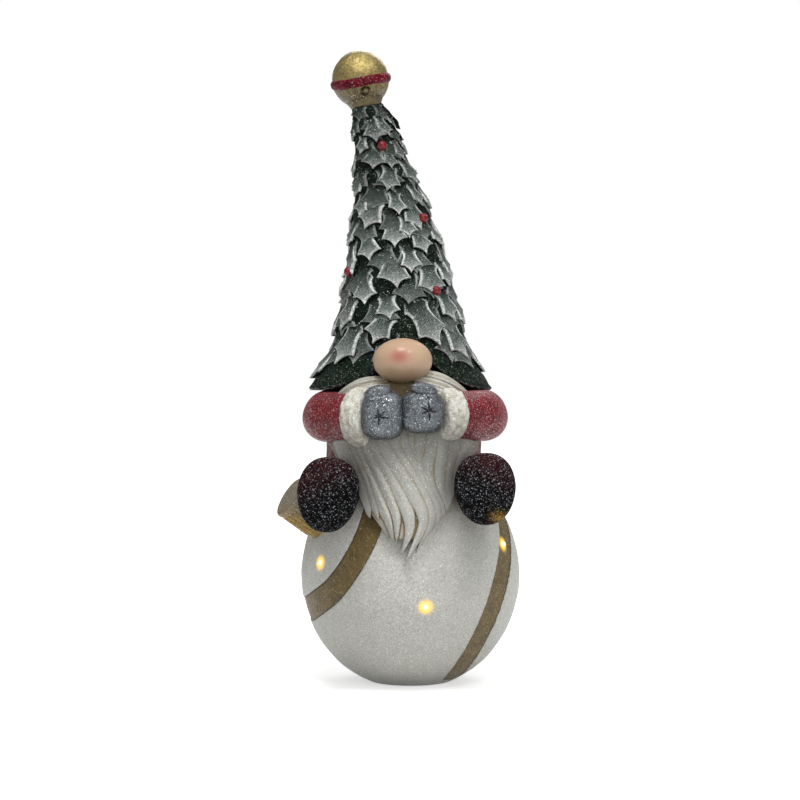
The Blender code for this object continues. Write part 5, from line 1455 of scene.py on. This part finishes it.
def build_lamps(colours, sizes):
    """Three lit lamps, each a small domed lens."""
    for name, azimuth, elevation in LAMPS:
        way = ball_direction(azimuth, elevation)
        skin = ball_reach(way)
        profile = [(skin + along, radius) for along, radius in LENS_STEM]
        shoulder, lens_radius = profile[-1]
        for i in range(1, 10):
            tilt = 0.5 * math.pi * i / 10
            profile.append((shoulder + LENS_DOME * math.sin(tilt), lens_radius * math.cos(tilt)))
        ends = [BALL_CENTRE + way * along for along in (profile[0][0], shoulder + LENS_DOME)]
        points, faces = closed_rows(turned(BALL_CENTRE, way, profile, 40), *ends)
        arms = [p - BALL_CENTRE for p in points]
        core = [(arm - way * arm.dot(way)).length / MM for arm in arms]
        paint = Paint("lamp_lens_" + name, IOR=1.45)
        mark = paint.mark("core")
        paint.to("Base Color", paint.mix(mark.above(0.8, 2.4), (1.0, 0.95, 0.80), colours.lamp))
        paint.to("Emission Color", paint.mix(mark.above(1.3, 2.5), (1.0, 0.95, 0.78), (1.0, 0.68, 0.12)))
        paint.to("Emission Strength", sizes.lamp_glow)
        paint.to("Roughness", 0.10 + paint.grain(0.001) * 0.12)
        new_piece("lamp_lens_" + name, points, faces, paint, {"core": core}, node="led_lamp_" + name)


def inner_paint(name, size, detail, first, second, rough, span, wear=None, **constants):
    """Paint of a part inside: two tones in patches and a roughness that goes with them."""
    paint = Paint(name, **constants)
    tone = paint.grain(size, detail)
    share = tone.above(*wear) if wear else tone
    paint.to("Base Color", paint.mix(share, linear(*first), linear(*second)))
    paint.to("Roughness", rough + tone * span)
    return paint


def build_battery():
    """Materials of the battery tray and what it holds. Its nodes keep their shapes."""
    plastic = inner_paint("tray_black_plastic", 0.004, 3.0, (30, 30, 31), (42, 42, 43), 0.44, 0.16)
    plastic.to("Normal", plastic.bump(plastic.grain(0.0004, 2.0), 0.4, 0.0001))
    steel = inner_paint("plated_steel", 0.0012, 4.0, (190, 190, 188), (160, 160, 156), 0.22, 0.2,
                        Metallic=1.0)
    sleeve = inner_paint("cell_sleeve", 0.003, 4.0, (46, 60, 48), (70, 84, 70), 0.30, 0.2, (0.45, 0.75))
    wire = inner_paint("wire_red_cover", 0.004, 3.0, (176, 30, 26), (140, 22, 20), 0.40, 0.2)
    for paint, nodes in (
        (plastic, ("battery_tray", "battery_door", "switch_slider")),
        (steel, ("door_screw", "contact_bridge", "contact_front", "contact_back")),
        (sleeve, ("battery_front", "battery_back")),
        (wire, ("lamp_wire_left", "lamp_wire_front", "lamp_wire_right")),
    ):
        for node in nodes:
            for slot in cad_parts[node].material_slots:
                slot.material = paint.material


# Stage

def area_light(name, place, target, size, power, colour):
    """A soft square light that looks at a point."""
    light = bpy.data.lights.new(name, "AREA")
    light.energy = power
    light.size = size
    light.color = colour
    made = bpy.data.objects.new(name, light)
    made.location = place
    made.rotation_euler = (Vector(target) - Vector(place)).to_track_quat("-Z", "Y").to_euler()
    bpy.context.scene.collection.objects.link(made)


def build_floor():
    """Pale floor, even in front of the camera and seen through from below."""
    mesh = bpy.data.meshes.new("floor")
    corners = [(-6.0, -4.0, 0.0), (6.0, -4.0, 0.0), (6.0, 8.0, 0.0), (-6.0, 8.0, 0.0)]
    mesh.from_pydata(corners, [], [(0, 1, 2, 3)])
    floor = bpy.data.objects.new("floor", mesh)
    bpy.context.scene.collection.objects.link(floor)
    paint = Paint("floor_pale", Roughness=0.9)
    paint.to("Base Color", (0.80, 0.80, 0.80))
    seen = paint.node("ShaderNodeLightPath", output="Is Camera Ray")
    glossy = paint.node("ShaderNodeLightPath", output="Is Glossy Ray")
    away = paint.node("ShaderNodeVectorMath", {"operation": "LENGTH"}, {0: paint.place()}, "Value")
    far = paint.mix(away.above(0.10, 0.55), (0.55, 0.55, 0.55), (1.1, 1.1, 1.1))
    paint.to("Emission Color", paint.mix(seen.most(glossy), (0.0, 0.0, 0.0), far))
    paint.to("Alpha", 1.0 - paint.node("ShaderNodeNewGeometry", output="Backfacing"))
    paint.to("Emission Strength", 1.0)
    mesh.materials.append(paint.material)


def build_world():
    """White to the camera, a softer white as light."""
    world = bpy.data.worlds.new("studio")
    bpy.context.scene.world = world
    world.use_nodes = True
    tree = world.node_tree
    lit = tree.nodes["Background"]
    lit.inputs["Color"].default_value = (1.0, 1.0, 0.985, 1.0)
    lit.inputs["Strength"].default_value = 0.38
    white = tree.nodes.new("ShaderNodeBackground")
    white.inputs["Color"].default_value = (1.0, 1.0, 1.0, 1.0)
    white.inputs["Strength"].default_value = 1.0
    path = tree.nodes.new("ShaderNodeLightPath")
    mixed = tree.nodes.new("ShaderNodeMixShader")
    rays = tree.nodes.new("ShaderNodeMath")
    rays.operation = "MAXIMUM"
    for start, end in ((path.outputs["Is Camera Ray"], rays.inputs[0]),
                       (path.outputs["Is Transmission Ray"], rays.inputs[1]),
                       (rays.outputs[0], mixed.inputs[0]), (lit.outputs[0], mixed.inputs[1]),
                       (white.outputs[0], mixed.inputs[2]),
                       (mixed.outputs[0], tree.nodes["World Output"].inputs["Surface"])):
        tree.links.new(start, end)


def build_stage():
    """Floor, world, lights and camera."""
    build_floor()
    build_world()
    for light in LIGHTS:
        area_light(*light)
    camera = bpy.data.cameras.new("camera")
    camera.lens = CAMERA_LENS
    camera.sensor_width = 36.0
    camera.sensor_fit = "HORIZONTAL"
    seat = bpy.data.objects.new("camera", camera)
    seat.location = CAMERA_PLACE
    seat.rotation_euler = (0.5 * math.pi, 0.0, 0.0)
    bpy.context.scene.collection.objects.link(seat)
    bpy.context.scene.camera = seat
    bpy.context.scene.view_settings.view_transform = "Standard"


# Operators and panel

class STATUE_OT_hat(bpy.types.Operator):
    """Hat body with its brim."""

    bl_idname = "statue.hat"
    bl_label = "Hat"

    def execute(self, context):
        build_hat(context.scene.statue_colours)
        return {"FINISHED"}


class STATUE_OT_leaves(bpy.types.Operator):
    """Holly leaves on the hat."""

    bl_idname = "statue.leaves"
    bl_label = "Leaves"

    def execute(self, context):
        build_leaves(context.scene.statue_colours, context.scene.statue_sizes)
        return {"FINISHED"}


class STATUE_OT_berries(bpy.types.Operator):
    """Berries among the leaves."""

    bl_idname = "statue.berries"
    bl_label = "Berries"

    def execute(self, context):
        build_berries(context.scene.statue_colours)
        return {"FINISHED"}


class STATUE_OT_bell(bpy.types.Operator):
    """Bell and its band."""

    bl_idname = "statue.bell"
    bl_label = "Bell"

    def execute(self, context):
        build_bell(context.scene.statue_colours)
        build_bell_band(context.scene.statue_colours)
        return {"FINISHED"}


class STATUE_OT_nose(bpy.types.Operator):
    """Big smooth nose."""

    bl_idname = "statue.nose"
    bl_label = "Nose"

    def execute(self, context):
        build_nose(context.scene.statue_colours)
        return {"FINISHED"}


class STATUE_OT_beard(bpy.types.Operator):
    """Beard in long locks."""

    bl_idname = "statue.beard"
    bl_label = "Beard"

    def execute(self, context):
        build_beard(context.scene.statue_colours)
        return {"FINISHED"}


class STATUE_OT_cheeks(bpy.types.Operator):
    """Hair beside the nose."""

    bl_idname = "statue.cheeks"
    bl_label = "Cheek hair"

    def execute(self, context):
        build_cheeks(context.scene.statue_colours)
        return {"FINISHED"}


class STATUE_OT_sleeves(bpy.types.Operator):
    """Red sleeves."""

    bl_idname = "statue.sleeves"
    bl_label = "Sleeves"

    def execute(self, context):
        build_sleeves(context.scene.statue_colours)
        return {"FINISHED"}


class STATUE_OT_cuffs(bpy.types.Operator):
    """Fur cuffs."""

    bl_idname = "statue.cuffs"
    bl_label = "Cuffs"

    def execute(self, context):
        build_cuffs(context.scene.statue_colours)
        return {"FINISHED"}


class STATUE_OT_mittens(bpy.types.Operator):
    """Mittens with carved stars."""

    bl_idname = "statue.mittens"
    bl_label = "Mittens"

    def execute(self, context):
        build_mittens(context.scene.statue_colours)
        return {"FINISHED"}


class STATUE_OT_coat(bpy.types.Operator):
    """Maroon coat."""

    bl_idname = "statue.coat"
    bl_label = "Coat"

    def execute(self, context):
        build_coat(context.scene.statue_colours)
        return {"FINISHED"}


class STATUE_OT_boots(bpy.types.Operator):
    """Legs and boots."""

    bl_idname = "statue.boots"
    bl_label = "Boots"

    def execute(self, context):
        build_boots(context.scene.statue_colours)
        return {"FINISHED"}


class STATUE_OT_ball(bpy.types.Operator):
    """Ball with its gold band."""

    bl_idname = "statue.ball"
    bl_label = "Ball"

    def execute(self, context):
        build_ball(context.scene.statue_colours, context.scene.statue_sizes)
        return {"FINISHED"}


class STATUE_OT_cap(bpy.types.Operator):
    """Ornament cap."""

    bl_idname = "statue.cap"
    bl_label = "Cap"

    def execute(self, context):
        build_cap()
        return {"FINISHED"}


class STATUE_OT_lamps(bpy.types.Operator):
    """Lit lamps."""

    bl_idname = "statue.lamps"
    bl_label = "Lamps"

    def execute(self, context):
        build_lamps(context.scene.statue_colours, context.scene.statue_sizes)
        return {"FINISHED"}


class STATUE_OT_battery(bpy.types.Operator):
    """Materials of the battery tray."""

    bl_idname = "statue.battery"
    bl_label = "Battery tray"

    def execute(self, context):
        build_battery()
        return {"FINISHED"}


class STATUE_OT_stage(bpy.types.Operator):
    """Floor, lights and camera."""

    bl_idname = "statue.stage"
    bl_label = "Stage"

    def execute(self, context):
        build_stage()
        return {"FINISHED"}


STEPS = (
    STATUE_OT_hat, STATUE_OT_leaves, STATUE_OT_berries, STATUE_OT_bell,
    STATUE_OT_nose, STATUE_OT_beard, STATUE_OT_cheeks, STATUE_OT_sleeves,
    STATUE_OT_cuffs, STATUE_OT_mittens, STATUE_OT_coat, STATUE_OT_boots,
    STATUE_OT_ball, STATUE_OT_cap, STATUE_OT_lamps, STATUE_OT_battery,
    STATUE_OT_stage,
)


class STATUE_PT_panel(bpy.types.Panel):
    """Lists the statue's steps and settings."""

    bl_idname = "STATUE_PT_panel"
    bl_label = "Gnome Statue"
    bl_space_type = "VIEW_3D"
    bl_region_type = "UI"
    bl_category = "Statue"

    def draw(self, context):
        layout = self.layout
        for group in (context.scene.statue_sizes, context.scene.statue_colours):
            box = layout.box()
            for key in group.bl_rna.properties.keys():
                if key not in {"rna_type", "name"}:
                    box.prop(group, key)
        for step in STEPS:
            layout.operator(step.bl_idname)


CLASSES = (STATUE_PG_colours, STATUE_PG_sizes) + STEPS + (STATUE_PT_panel,)


def register():
    """Make the classes and the scene's properties known to Blender."""
    for item in CLASSES:
        bpy.utils.register_class(item)
    bpy.types.Scene.statue_colours = bpy.props.PointerProperty(type=STATUE_PG_colours)
    bpy.types.Scene.statue_sizes = bpy.props.PointerProperty(type=STATUE_PG_sizes)


def unregister():
    """Take away what register added."""
    del bpy.types.Scene.statue_colours
    del bpy.types.Scene.statue_sizes
    for item in reversed(CLASSES):
        bpy.utils.unregister_class(item)


def main():
    """Run every step in order."""
    register()
    for step in STEPS:
        getattr(bpy.ops.statue, step.bl_idname.split(".")[1])()


if __name__ == "__main__":
    main()
